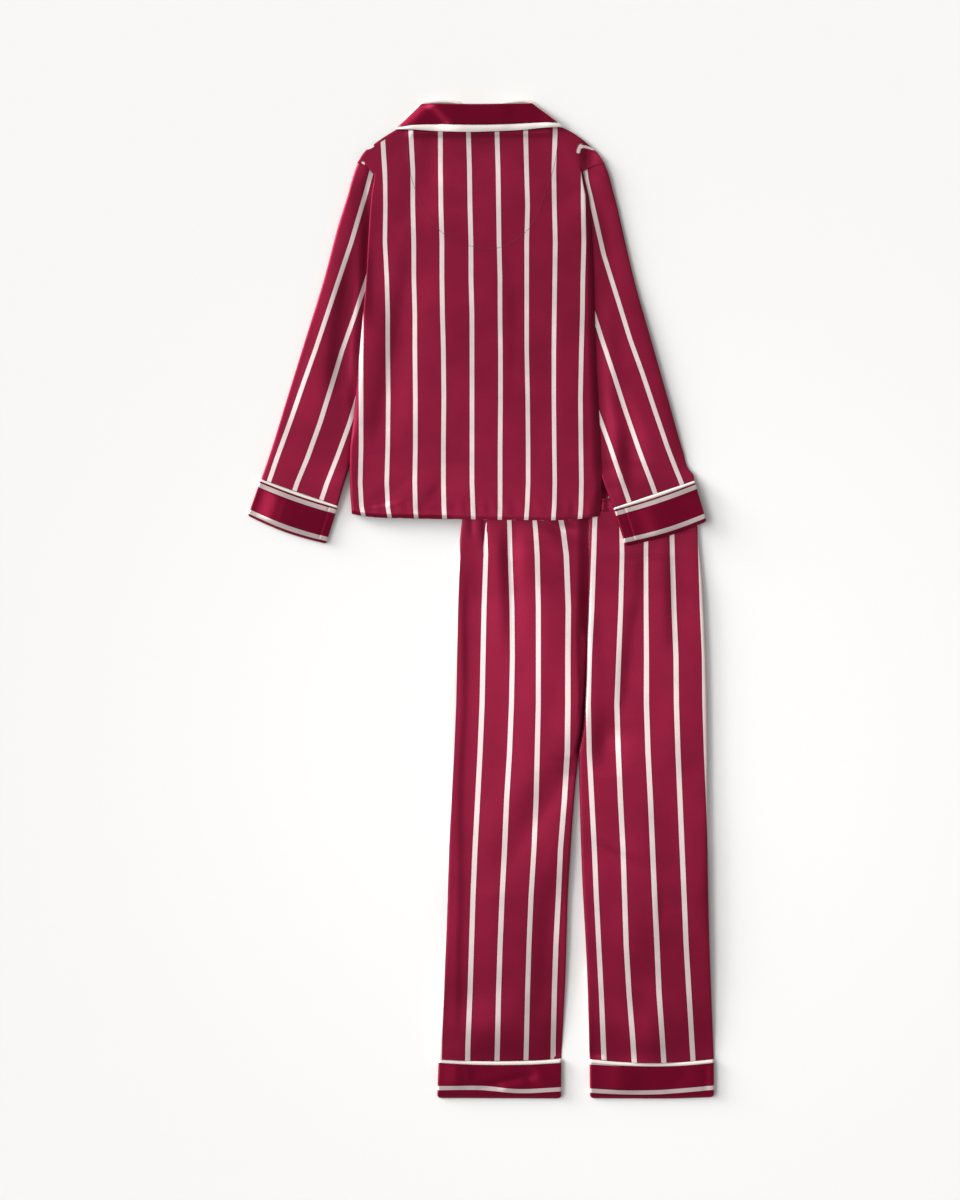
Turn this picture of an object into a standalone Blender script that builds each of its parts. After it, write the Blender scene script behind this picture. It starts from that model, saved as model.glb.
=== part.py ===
"""Striped satin pyjama set, laid flat with its back up.

A long-sleeved shirt with a revere collar lies on matching long trousers. The shirt's hem covers the
trousers' waist and the right cuff lies on the right hip. Every cut piece is a wall of its own.

Plan positions and heights are in millimetres: x to the right, y towards the collar, z up from the
surface that the set lies on. One grid of points is worked out for each piece from its edge lines,
a height formula gives each point its z, and Solidify turns the sheet into a wall.
"""
import bpy
import numpy as np

MM = 0.001
COLLECTION = "pyjama_set"

# Cloth and seams
CLOTH = 1.2             # wall of one layer
PIPING_WALL = 1.4       # wall of the flat piping
SEAM = 0.3              # gap between pieces that are sewn together or lie on each other
RIM = 1.0               # gap between an upper panel's rolled edge and the panel under it
ROLL = 4.0              # how far in from an edge the upper layer rolls over
TUBE_ROLL = 3.0         # the same at the folded sides of a sleeve, cuff, waistband or hem band

# Heights of what lies flat
SLEEVE_FLAT = 3.4       # sleeve pressed flat under the body
SLEEVE_FULL = 4.8       # sleeve where it lies free
CUFF_FULL = 5.0
WAISTBAND_FULL = 4.4
LEG_FULL = 4.6
LEG_CROWN = 0.8         # how much higher the middle of a leg lies than its sides
LOFT = 1.4              # air between the shirt's back and its fronts
TROUSER_RISE = WAISTBAND_FULL + SEAM
TUCK_RISE = SLEEVE_FLAT + 3.0 * SEAM
TUCK_RAMP = 32.0        # width over which the body comes down beside a tucked sleeve
RISE_RAMP = 45.0        # length over which the shirt climbs on to the trousers
SIDE_RAMP = 22.0        # the same beside the trousers
SIDE_MARGIN = 6.0       # how far outside the waist the climb ends
RISE_MARGIN = 12.0      # how far above the waist the climb ends
TUCK_END_Y = 618.0      # where the tucked sleeves end under the shoulders
TUCK_END_RAMP = 64.0
SLEEVE_MARGIN = 2.0     # how far outside the body a sleeve starts to fill out
SLEEVE_RAMP = 14.0
SLEEVE_HEAD_SHARE = 0.97    # share of its length where a sleeve is flat again
SLEEVE_HEAD_FADE = 0.06

# Shirt front
CENTRE = -6.0           # x of the button line
OVERLAP = 32.0          # width of the button stand, where the fronts lie on each other
BUTTON_WIDTH = 11.5
BUTTON_DEPTH = 2.0
BUTTON_Y = (530.0, 425.0, 320.0, 215.0)
BUTTON_EDGE = 0.4       # bevel round a button
BUTTON_SIDES = 16
BUTTON_RISE = BUTTON_DEPTH + SEAM
BUTTON_RAMP = 26.0      # width over which the fronts come down beside the buttons
BUTTON_START_Y = 165.0  # where the fronts begin to climb over the lowest button
COLLAR_RISE = CLOTH + SEAM
COLLAR_REACH = 142.0    # how far from the middle the folded-out collar lifts the fronts
COLLAR_RAMP = 20.0
COLLAR_START_Y = 515.0
FRONT_RAMP = 30.0       # length over which the fronts climb over buttons and collar
NECK_MARGIN = 5.0
STAND_TOP_Y = 552.0     # top of the button stand
STAND_HEM_LEFT_Y = 115.6
STAND_HEM_RIGHT_Y = 116.1
OVERLAP_RAMP = 32.0     # width over which the left front climbs on to the right one
OVERLAP_START = 38.0    # how far before the button stand that climb starts
OVERLAP_END = 4.0       # how far past the stand the back stays lifted
OVERLAP_END_RAMP = 20.0

# Trousers
WAIST_Y = 147.0
WAIST_SEAM_Y = 127.5
GATHERS = 11            # gathers across each layer of the waistband
GATHER_DEPTH = 0.35
CROWN_START = 50.0      # how far below the waist a leg starts to fill out
CROWN_RAMP = 90.0
LEG_TOP_Y = 80.0        # folds that start above this come from the waist
FOLD_FLANK = 1.1        # where a fold's flanks get points, in half widths from its middle
FLANK_CLEAR = 0.05      # share of the width kept free of such points at a leg's sides
PIPING_WIDTH = 5.0      # piping above a trouser hem band
CUFF_PIPING_WIDTH = 3.6
PIPING_RISE = 0.3       # how much higher piping stands than the cloth beside it
COLLAR_WIDTH = 235.0
COLLAR_DEPTH = 32.0
COLLAR_AIR = 0.4
COLLAR_BAND_ROLL = 20.0
COLLAR_BAND_DIP = 0.15  # share of its height by which the band comes down at its ends

# Edge lines, as (x, y). Side lines run upwards, and end lines run from left to right.
BODY_LEFT = ((-187, 124), (-189.5, 163), (-189, 219.5), (-185, 256), (-181, 296.5), (-174.5, 370.5),
             (-166, 463.5), (-162.5, 528.5), (-158.5, 579.5), (-153.5, 614))
BODY_RIGHT = ((171, 120.5), (173.5, 137), (174, 173.5), (173, 222.5), (165, 334), (161, 463.5),
              (157, 528.5), (152.5, 595), (147.5, 620))
ARMHOLE_LEFT = ((-153.5, 614), (-169, 628), (-179, 632))
ARMHOLE_RIGHT = ((147.5, 620), (164, 628), (179, 631.5))
SHOULDER_LEFT = ((-179, 632), (-166.5, 650.5), (-158, 657), (-121.5, 681), (-111.5, 686))
SHOULDER_RIGHT = ((109, 686.5), (123.5, 681), (158, 657), (165.5, 650.5), (179, 631.5))
NECKLINE = ((-111.5, 686), (-81, 695.5), (-8.5, 699), (72.5, 696.5), (109, 686.5))
HEM = ((-187, 124), (-171, 121), (-101.5, 117.5), (-13, 116), (55, 115), (142, 116.5), (171, 120.5))
NECK_POINT = (CENTRE, 557.0)

SLEEVE_LEFT_OUTER = ((-318.3, 174.3), (-308.5, 202.5), (-281.5, 289.5), (-254.5, 376.5),
                     (-227.5, 463.5), (-204.5, 549), (-194, 582), (-179.5, 631))
SLEEVE_LEFT_INNER = ((-207.5, 135.7), (-192.5, 186.5), (-172.5, 246), (-145, 318.5), (-120, 391),
                     (-95.5, 459))
SLEEVE_LEFT_HEAD = ((-179.5, 631), (-169.5, 627), (-154.3, 612.7), (-124.5, 572), (-103, 514),
                    (-95.5, 459))
SLEEVE_RIGHT_OUTER = ((308.7, 172.2), (307.8, 180), (301, 188.5), (293, 214), (269, 298),
                      (245, 382), (222, 463.5), (208, 523), (192.5, 588.5), (179.5, 630.3))
SLEEVE_RIGHT_INNER = ((191.7, 132.9), (178.5, 166), (168.5, 199.5), (158, 231.5), (133.5, 318.5),
                      (109, 391), (85.5, 459))
SLEEVE_RIGHT_HEAD = ((85.5, 459), (94.5, 514), (117.5, 572), (148, 618.7), (164.5, 626.7),
                     (179.5, 630.3))

# Where a tucked sleeve ends under the body: x at each y
TUCK_LEFT = ((137, -207), (186.5, -192.5), (246, -172.5), (318.5, -145), (391, -120), (459, -95.5),
             (514, -103), (572, -124.5), (614, -143))
TUCK_RIGHT = ((133, 191.5), (166, 178.5), (199.5, 168.5), (231.5, 158), (318.5, 133.5), (391, 109),
              (459, 85.5), (514, 94.5), (572, 117.5), (620, 139))

CUFF_LEFT = ((-337.8, 121), (-224.5, 80.5), (-319, 174.5), (-207, 135.5))
CUFF_RIGHT = ((209, 77.5), (326.5, 112.5), (191.5, 132.5), (309, 172))

LEG_LEFT_OUTER = ((-61.5, -665.5), (-57, -595), (-52, -525.5), (-49, -456), (-47, -392), (-45.5, -340),
                  (-44, -224), (-42.5, -131), (-39.5, -61.5), (-36, 8), (-32, 54.5), (-29, 101),
                  (-25, WAIST_SEAM_Y - SEAM))
RISE_SEAM = ((141.5, -221), (148, -189), (151.5, -146), (155, -30), (156.8, 57), (157, WAIST_SEAM_Y - SEAM))
LEG_LEFT_INNER = ((116.5, -665.5), (122, -556), (127, -411), (129, -377.5), (135, -290), (141.5, -221))
LEG_RIGHT_INNER = ((157.5, -665.5), (153, -524), (146.5, -401), (144.5, -345), (143, -290), (141.5, -221))
LEG_RIGHT_OUTER = ((337.5, -665.5), (330.5, -479), (328.3, -362), (327.6, -192), (324.5, -63), (318.3, 53.5),
                   (314, 101), (311.5, WAIST_SEAM_Y - SEAM))
WAIST_LEFT_X = (-25.0, -23.0)       # at the waist seam and at the top
WAIST_RIGHT_X = (311.5, 310.0)
HEM_BANDS = (
    # side,  left,   right,  top,     bottom
    ("left", -63.5, 116.3, -666.0, -722.5),
    ("right", 158.0, 337.8, -666.0, -723.0),
)

COLLAR_LEFT = ((-120.5, 682.2), (-104, 699.5), (-85.5, 718.5))
COLLAR_RIGHT = ((120.5, 682.8), (97, 701), (72.5, 719.5))
COLLAR_TOP = ((-85.5, 718.5), (-5.5, 717.5), (72.5, 719.5))
COLLAR_BAND_TOP = ((-119, 684), (-98.5, 686.5), (-59.5, 687.3), (-20, 686.3), (20.5, 687), (56.5, 688.8),
                   (93, 690.5), (112, 690))
COLLAR_BAND_EDGE = ((-121.5, 680.5), (-98.5, 679.5), (-59.5, 676.5), (-20, 675), (20.5, 676.5),
                    (56.5, 678.5), (93, 682), (119.5, 683))
STAND_BOTTOM = ((-78, 697.1), (-8.5, 699.8), (70, 697.6))
STAND_TOP = ((-78, 715.5), (-8.5, 715.3), (68, 715.8))
POINTS = (
    # side, left edge, right edge, lower edge, upper edge
    ("left", ((-128, 655), (-117.5, 682), (-82.5, 720)), ((-62, 640), (-27.5, 718.5)),
     ((-128, 655), (-100, 633), (-62, 640)), ((-82.5, 720), (-59.5, 722.6), (-42, 721.8), (-27.5, 718.5))),
    ("right", ((50, 640), (27.5, 718.5)), ((118, 655), (112, 686.5), (75.5, 720)),
     ((50, 640), (90, 633), (118, 655)), ((27.5, 718.5), (45, 721.5), (69.5, 722), (75.5, 720))),
)
# A lapel's corners, as distances from the button line and heights
LAPEL_TIP = (94.0, 628.0)
LAPEL_INNER = (56.0, 636.0)
LAPEL_FOOT = (10.0, 553.0)
LAPEL_NECK = (3.0, 556.0)

FOLDS_SHIRT = (
    # from x,   y,   to x,    y, half width, height
    (-175.0, 285.0, -135.0, 150.0, 12.0, -0.5),
    (-90.0, 190.0, -30.0, 140.0, 14.0, -0.5),
    (120.0, 560.0, 135.0, 300.0, 12.0, 0.4),
    (60.0, 380.0, 85.0, 170.0, 16.0, -0.4),
)
FOLDS_SLEEVES = (
    (-197.0, 434.0, -226.0, 304.0, 9.0, -0.8),
    (-166.0, 600.0, -186.0, 500.0, 6.0, -0.7),
    (170.0, 590.0, 190.0, 470.0, 7.0, -0.6),
    (232.0, 300.0, 262.0, 190.0, 10.0, 0.5),
    (188.0, 330.0, 212.0, 200.0, 9.0, -0.6),
)
FOLDS_TROUSERS = (
    (-14.5, 118.0, -13.0, 76.0, 5.0, -0.7),
    (7.5, 118.0, 8.5, 76.0, 5.0, -0.7),
    (30.5, 118.0, 39.5, -60.0, 6.0, -1.1),
    (48.0, 90.0, 49.5, 0.0, 6.0, 0.6),
    (107.5, 116.0, 122.0, 84.0, 5.0, -0.7),
    (178.0, 116.0, 184.0, 50.0, 6.0, -0.7),
    (232.0, 118.0, 228.0, 40.0, 6.0, -0.6),
    (276.0, 118.0, 272.0, 40.0, 6.0, -0.6),
    (171.0, -180.0, 160.0, -240.0, 9.0, -0.9),
    (204.0, -556.0, 234.0, -600.0, 12.0, -0.8),
    (60.0, -560.0, 105.0, -640.0, 14.0, -0.7),
    (0.0, -330.0, -20.0, -520.0, 14.0, 0.5),
)

SATIN = (0.27, 0.015, 0.045, 1.0)
CREAM = (0.78, 0.70, 0.64, 1.0)
PEARL = (0.62, 0.55, 0.50, 1.0)


# ---------------------------------------------------------------- curves and areas
def smooth(value):
    """Goes from 0 to 1 with a soft start and a soft end."""
    clipped = np.clip(value, 0.0, 1.0)
    return clipped * clipped * (3.0 - 2.0 * clipped)


def along(points, share):
    """Points at the given shares of the length of a smooth line through the given points."""
    points = np.asarray(points, dtype=float)
    steps = np.linalg.norm(np.diff(points, axis=0), axis=1)
    length = np.concatenate([[0.0], np.cumsum(steps)])
    slope = np.gradient(points, length, axis=0)
    at = np.clip(share, 0.0, 1.0) * length[-1]
    index = np.clip(np.searchsorted(length, at, side="right") - 1, 0, len(steps) - 1)
    span = steps[index][..., None]
    t = ((at - length[index])[..., None]) / span
    start, end = points[index], points[index + 1]
    return ((1 + 2 * t) * (1 - t) ** 2 * start + t * (1 - t) ** 2 * span * slope[index]
            + t * t * (3 - 2 * t) * end + t * t * (t - 1) * span * slope[index + 1])


def chain(*lines):
    """One line from several that meet at sharp corners, each line straight between its points."""
    joined = [lines[0][0]]
    for line in lines:
        joined.extend(line[1:])
    return joined


def straight(points, share):
    """Points at the given shares of the length of straight runs between the given points."""
    points = np.asarray(points, dtype=float)
    length = np.concatenate([[0.0], np.cumsum(np.linalg.norm(np.diff(points, axis=0), axis=1))])
    at = np.clip(share, 0.0, 1.0) * length[-1]
    return np.stack([np.interp(at, length, points[:, 0]), np.interp(at, length, points[:, 1])], axis=-1)


def area_between(left, right, bottom, top, u, v, line=along):
    """Plan points inside four edge lines: the two blends of opposite lines less the blend of corners."""
    on_left, on_right = line(left, v), line(right, v)
    on_bottom, on_top = line(bottom, u), line(top, u)
    u, v = u[..., None], v[..., None]
    corners = ((1 - u) * (1 - v) * np.array(left[0]) + u * (1 - v) * np.array(right[0])
               + (1 - u) * v * np.array(left[-1]) + u * v * np.array(right[-1]))
    points = (1 - u) * on_left + u * on_right + (1 - v) * on_bottom + v * on_top - corners
    return points[..., 0], points[..., 1]


def folds(x, y, table):
    """Sum of soft ridges and troughs, each a bell across its line that fades out at both ends."""
    total = np.zeros_like(x)
    for x0, y0, x1, y1, half_width, height in table:
        run_x, run_y = x1 - x0, y1 - y0
        share = ((x - x0) * run_x + (y - y0) * run_y) / (run_x ** 2 + run_y ** 2)
        nearest = np.clip(share, 0.0, 1.0)
        distance = np.hypot(x - x0 - nearest * run_x, y - y0 - nearest * run_y)
        fade = smooth((share + 0.15) / 0.3) * smooth((1.15 - share) / 0.3)
        total += height * fade * np.exp(-(distance / half_width) ** 2)
    return total


# ---------------------------------------------------------------- what lies under what
def table_x(table, y):
    """x at each y, read off a table of (y, x) rows."""
    rows = np.asarray(table, dtype=float)
    return np.interp(y, rows[:, 0], rows[:, 1])


def over_trousers(x, y):
    """Lift of whatever lies on the trousers' waist."""
    across = smooth((x - WAIST_LEFT_X[0] + SIDE_RAMP + SIDE_MARGIN) / SIDE_RAMP)
    return TROUSER_RISE * across * smooth((WAIST_Y + RISE_RAMP + RISE_MARGIN - y) / RISE_RAMP)


def over_sleeves(x, y):
    """1 where a sleeve lies under the body, going to 0 beside it."""
    left = 1.0 - smooth((x - table_x(TUCK_LEFT, y)) / TUCK_RAMP)
    right = 1.0 - smooth((table_x(TUCK_RIGHT, y) - x) / TUCK_RAMP)
    return np.maximum(left, right) * (1.0 - smooth((y - TUCK_END_Y) / TUCK_END_RAMP))


def below_neck(y):
    """1 on the buttoned stretch of the front, going to 0 above its neckline."""
    return 1.0 - smooth((y - NECK_POINT[1] + NECK_MARGIN) / FRONT_RAMP)


def over_buttons(x, y):
    """Lift of the fronts where the buttons lie under them."""
    beside = 1.0 - smooth((np.abs(x - CENTRE) - 0.5 * OVERLAP) / BUTTON_RAMP)
    return BUTTON_RISE * beside * smooth((y - BUTTON_START_Y) / FRONT_RAMP) * below_neck(y)


def over_collar(x, y):
    """Lift of the fronts where the collar and lapels are folded out under them."""
    near_neck = 1.0 - smooth((np.abs(x) - COLLAR_REACH) / COLLAR_RAMP)
    return COLLAR_RISE * near_neck * smooth((y - COLLAR_START_Y) / FRONT_RAMP)


def front_floor(x, y):
    """Underside of the shirt's fronts."""
    return (over_trousers(x, y) + TUCK_RISE * over_sleeves(x, y)
            + np.maximum(over_buttons(x, y), over_collar(x, y)))


def left_over_right(x):
    """Lift of the left front where it lies on the right one."""
    return (CLOTH + 2.0 * SEAM) * smooth((x - CENTRE + 0.5 * OVERLAP + OVERLAP_START) / OVERLAP_RAMP)


def front_overlap(x, y):
    """Lift of the back over the button stand, where the fronts are double."""
    beside = 1.0 - smooth((x - CENTRE - 0.5 * OVERLAP - OVERLAP_END) / OVERLAP_END_RAMP)
    return left_over_right(x) * beside * below_neck(y)


# ---------------------------------------------------------------- walls
def wall_object(name, material, x, y, z, wall=CLOTH, ring=False):
    """Sheet through a grid of points whose rows run upwards and columns to the right, made a wall."""
    rows, columns = x.shape
    points = np.stack([x, y, z], axis=-1).reshape(-1, 3) * MM
    row, column = np.meshgrid(np.arange(rows - 1), np.arange(columns if ring else columns - 1), indexing="ij")
    beside = (column + 1) % columns
    faces = np.stack([row * columns + column, row * columns + beside,
                      (row + 1) * columns + beside, (row + 1) * columns + column], axis=-1).reshape(-1, 4)
    mesh = bpy.data.meshes.new(name)
    mesh.from_pydata(points.tolist(), [], faces.tolist())
    mesh.shade_smooth()
    piece = bpy.data.objects.new(name, mesh)
    piece.data.materials.append(material)
    bpy.data.collections[COLLECTION].objects.link(piece)
    solidify = piece.modifiers.new("wall", "SOLIDIFY")
    solidify.thickness = wall * MM
    solidify.offset = -1.0
    solidify.use_even_offset = ring
    return piece


def spread(count):
    """Even shares from 0 to 1."""
    return np.linspace(0.0, 1.0, count)


def rolled_shares(count, width, roll=ROLL, start=True, end=True):
    """Shares across a panel, close together where its edge rolls over."""
    lead = roll / width * np.array([0.0, 0.08, 0.3, 0.62])
    first = roll / width if start else 0.0
    last = 1.0 - roll / width if end else 1.0
    middle = np.linspace(first, last, count)
    parts = ([lead] if start else []) + [middle] + ([1.0 - lead[::-1]] if end else [])
    return np.concatenate(parts)


def rolled(distance, roll=ROLL):
    """Quarter round: 0 at the edge and 1 from the roll's width inwards."""
    short = 1.0 - np.clip(distance / roll, 0.0, 1.0)
    return np.sqrt(np.clip(1.0 - short * short, 0.0, 1.0))


def flat_panel(name, material, edges, columns, rows, floor, line=along):
    """A lower layer: its underside follows the given floor."""
    u, v = np.meshgrid(spread(columns), spread(rows))
    x, y = area_between(*edges, u, v, line=line)
    return wall_object(name, material, x, y, floor(x, y) + CLOTH)


def tube(name, material, edges, columns, rows, floor, height, wall=CLOTH, line=along, shares=None):
    """A flattened tube: the upper layer, a half round fold, the lower layer and the other fold."""
    u_row = np.linspace(0.0, 1.0, columns)
    v_column = spread(rows) if shares is None else np.asarray(shares)
    corner_gap = np.linalg.norm(np.array(edges[0][0]) - np.array(edges[1][0]))
    inset = TUBE_ROLL / corner_gap
    flat_u = inset + (1.0 - 2.0 * inset) * u_row
    turn = np.radians([45.0, 0.0, -45.0])
    turn_u = inset * (1.0 - np.cos(turn))
    ring_u = np.concatenate([flat_u, 1.0 - turn_u, flat_u[::-1], turn_u[::-1]])
    level = np.concatenate([np.ones(columns), np.sin(turn), -np.ones(columns), np.sin(turn[::-1])])
    u, v = np.meshgrid(ring_u, v_column)
    x, y = area_between(*edges, u, v, line=line)
    low = floor(x, y)
    z = low + height(x, y, v) * (0.5 + 0.5 * level)
    return wall_object(name, material, x, y, z, wall=wall, ring=True)


def clear_scene():
    """Removes whatever the scene holds at the start."""
    for old in list(bpy.data.objects):
        bpy.data.objects.remove(old, do_unlink=True)


def finish_material(name, colour, roughness, sheen):
    """Plain finish of one colour."""
    material = bpy.data.materials.new(name)
    material.use_nodes = True
    shader = material.node_tree.nodes["Principled BSDF"]
    shader.inputs["Base Color"].default_value = colour
    shader.inputs["Roughness"].default_value = roughness
    shader.inputs["Metallic"].default_value = 0.0
    shader.inputs["Sheen Weight"].default_value = sheen
    return material


# ---------------------------------------------------------------- shirt
def back_height(x, y):
    """Top of the shirt's back: over its fronts, a little air and the main folds."""
    return (front_floor(x, y) + front_overlap(x, y) + CLOTH + SEAM + LOFT + CLOTH
            + folds(x, y, FOLDS_SHIRT))


def shirt_back(material):
    """One wide panel whose sides and shoulders roll down to the fronts."""
    left = chain(BODY_LEFT, ARMHOLE_LEFT)
    right = chain(BODY_RIGHT, ARMHOLE_RIGHT)
    top = chain(SHOULDER_LEFT, NECKLINE, SHOULDER_RIGHT)
    width = HEM[-1][0] - HEM[0][0]
    length = NECKLINE[2][1] - HEM[3][1]
    u, v = np.meshgrid(rolled_shares(15, width), rolled_shares(17, length, start=False))
    x, y = area_between(left, right, HEM, top, u, v, line=straight)
    side = np.minimum(u, 1.0 - u) * width
    over = (1.0 - v) * length
    low = front_floor(x, y) + CLOTH + RIM
    z = low + (back_height(x, y) - low) * np.minimum(rolled(side), rolled(over))
    return wall_object("shirt_back", material, x, y, z)


def shirt_fronts(material):
    """Two panels that lie on each other along the button stand, the left one on top."""
    foot = (CENTRE + 0.5 * OVERLAP, STAND_HEM_LEFT_Y)
    head = (CENTRE + 0.5 * OVERLAP, STAND_TOP_Y)
    hem = chain(HEM[:4], (HEM[3], foot))
    top = chain(SHOULDER_LEFT, (SHOULDER_LEFT[-1], NECK_POINT, head))
    flat_panel("shirt_front_left", material, (chain(BODY_LEFT, ARMHOLE_LEFT), (foot, head), hem, top),
               13, 15, lambda x, y: front_floor(x, y) + left_over_right(x), line=straight)
    foot = (CENTRE - 0.5 * OVERLAP, STAND_HEM_RIGHT_Y)
    head = (CENTRE - 0.5 * OVERLAP, STAND_TOP_Y)
    hem = chain((foot, HEM[3]), HEM[3:])
    top = chain((head, NECK_POINT, SHOULDER_RIGHT[0]), SHOULDER_RIGHT)
    flat_panel("shirt_front_right", material, ((foot, head), chain(BODY_RIGHT, ARMHOLE_RIGHT), hem, top),
               13, 15, front_floor, line=straight)


def body_edge_distance(x, y):
    """How far a point lies outside the body's side edges."""
    left = np.array(BODY_LEFT, dtype=float)
    right = np.array(BODY_RIGHT, dtype=float)
    return np.maximum(np.interp(y, left[:, 1], left[:, 0]) - x, x - np.interp(y, right[:, 1], right[:, 0]))


def sleeve_height(x, y, v):
    """Flat under the body and at the shoulder, and fuller with its folds where it lies free."""
    free = smooth((body_edge_distance(x, y) - SLEEVE_MARGIN) / SLEEVE_RAMP)
    free = free * smooth((SLEEVE_HEAD_SHARE - v) / SLEEVE_HEAD_FADE)
    return SLEEVE_FLAT + free * (SLEEVE_FULL - SLEEVE_FLAT + folds(x, y, FOLDS_SLEEVES))


def sleeves(material):
    """Each sleeve is a tube from the cuff to its head under the shoulder."""
    for side, left, right, head in (
            ("left", SLEEVE_LEFT_OUTER, SLEEVE_LEFT_INNER, SLEEVE_LEFT_HEAD),
            ("right", SLEEVE_RIGHT_INNER, SLEEVE_RIGHT_OUTER, SLEEVE_RIGHT_HEAD)):
        edges = (left, right, (left[0], right[0]), head)
        tube("sleeve_" + side, material, edges, 8, 14, over_trousers, sleeve_height)


def between(a, b, share):
    """Point on the way from a to b."""
    return tuple((1.0 - share) * np.array(a) + share * np.array(b))


def cuffs(satin, cream):
    """Each cuff is a folded band, with piping let into the seam between it and the sleeve."""
    for side, corners in (("left", CUFF_LEFT), ("right", CUFF_RIGHT)):
        low_left, low_right, high_left, high_right = corners
        depth = np.linalg.norm(np.subtract(high_left, low_left))
        piping = (depth - CUFF_PIPING_WIDTH) / depth
        band = (depth - CUFF_PIPING_WIDTH - SEAM) / depth
        trim = (depth - SEAM) / depth
        for name, material, low, high, rise, rows in (
                ("cuff_" + side, satin, 0.0, band, 0.0, 3),
                ("cuff_piping_" + side, cream, piping, trim, PIPING_RISE, 2)):
            start = (between(low_left, high_left, low), between(low_right, high_right, low))
            end = (between(low_left, high_left, high), between(low_right, high_right, high))
            edges = ((start[0], end[0]), (start[1], end[1]), start, end)
            tube(name, material, edges, 7, rows, over_trousers,
                 lambda x, y, v, rise=rise: CUFF_FULL + rise + 0.0 * x, line=straight)


def collar(satin, cream):
    """The collar's fall rolls over its top and ends, on to the stand and the collar's front."""
    fall_height = COLLAR_RISE + 2.0 * (CLOTH + SEAM) + LOFT + CLOTH + SEAM + COLLAR_AIR
    across = rolled_shares(12, COLLAR_WIDTH)
    u, v = np.meshgrid(across, rolled_shares(4, COLLAR_DEPTH, start=False))
    x, y = area_between(COLLAR_LEFT, COLLAR_RIGHT, COLLAR_BAND_TOP, COLLAR_TOP, u, v)
    low = CLOTH + RIM
    side = np.minimum(u, 1.0 - u) * COLLAR_WIDTH
    z = low + (fall_height - low) * np.minimum(rolled(side), rolled((1.0 - v) * COLLAR_DEPTH))
    wall_object("collar", satin, x, y, z)

    u, v = np.meshgrid(across, spread(3))
    band_top = tuple((px, py - 3.0 * SEAM) for px, py in COLLAR_BAND_TOP)
    edge = ((COLLAR_BAND_EDGE[0], band_top[0]), (COLLAR_BAND_EDGE[-1], band_top[-1]))
    x, y = area_between(edge[0], edge[1], COLLAR_BAND_EDGE, band_top, u, v)
    side = np.minimum(u, 1.0 - u) * COLLAR_WIDTH
    dip = COLLAR_BAND_DIP * (1.0 - rolled(side, COLLAR_BAND_ROLL))
    z = low + (fall_height + PIPING_RISE - low) * (1.0 - dip)
    wall_object("collar_piping", cream, x, y, z, wall=PIPING_WALL)

    ends = ((STAND_BOTTOM[0], STAND_TOP[0]), (STAND_BOTTOM[-1], STAND_TOP[-1]))
    flat_panel("collar_stand", satin, (*ends, STAND_BOTTOM, STAND_TOP), 9, 3,
               lambda x, y: COLLAR_RISE + CLOTH + RIM + 0.0 * x)


def collar_front(satin):
    """Collar points and lapels, folded out on the shirt's front, so they lie on the surface."""
    for side, left, right, lower, upper in POINTS:
        flat_panel("collar_point_" + side, satin, (left, right, lower, upper), 7, 7, lambda x, y: 0.0 * x)
    for side, sign in (("left", -1.0), ("right", 1.0)):
        tip, inner, foot, neck = ((CENTRE + sign * off, y)
                                  for off, y in (LAPEL_TIP, LAPEL_INNER, LAPEL_FOOT, LAPEL_NECK))
        upper, lower = ((tip, inner), (foot, neck)) if sign < 0.0 else ((inner, tip), (neck, foot))
        edges = ((lower[0], upper[0]), (lower[1], upper[1]), lower, upper)
        flat_panel("lapel_" + side, satin, edges, 4, 6, lambda x, y: 0.0 * x)


def buttons(material):
    """Four discs in a row under the button stand."""
    for number, y in enumerate(BUTTON_Y, start=1):
        bpy.ops.mesh.primitive_cylinder_add(vertices=BUTTON_SIDES, radius=0.5 * BUTTON_WIDTH * MM,
                                            depth=BUTTON_DEPTH * MM,
                                            location=(CENTRE * MM, y * MM, 0.5 * BUTTON_DEPTH * MM))
        button = bpy.context.object
        button.name = "button_%d" % number
        button.data.name = button.name
        button.data.materials.append(material)
        edge = button.modifiers.new("edge", "BEVEL")
        edge.width = BUTTON_EDGE * MM
        edge.segments = 1
        edge.limit_method = "ANGLE"
        for owner in list(button.users_collection):
            owner.objects.unlink(button)
        bpy.data.collections[COLLECTION].objects.link(button)


# ---------------------------------------------------------------- trousers
def fold_shares(table, start_x, width):
    """Shares across a panel at the middle and flanks of each fold that runs down from the waist."""
    lines = [(x0 + x1) / 2.0 + offset * half_width
             for x0, y0, x1, y1, half_width, height in table if y0 > LEG_TOP_Y
             for offset in (-FOLD_FLANK, 0.0, FOLD_FLANK)]
    shares = (np.array(lines) - start_x) / width
    return shares[(shares > FLANK_CLEAR) & (shares < 1.0 - FLANK_CLEAR)]


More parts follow.
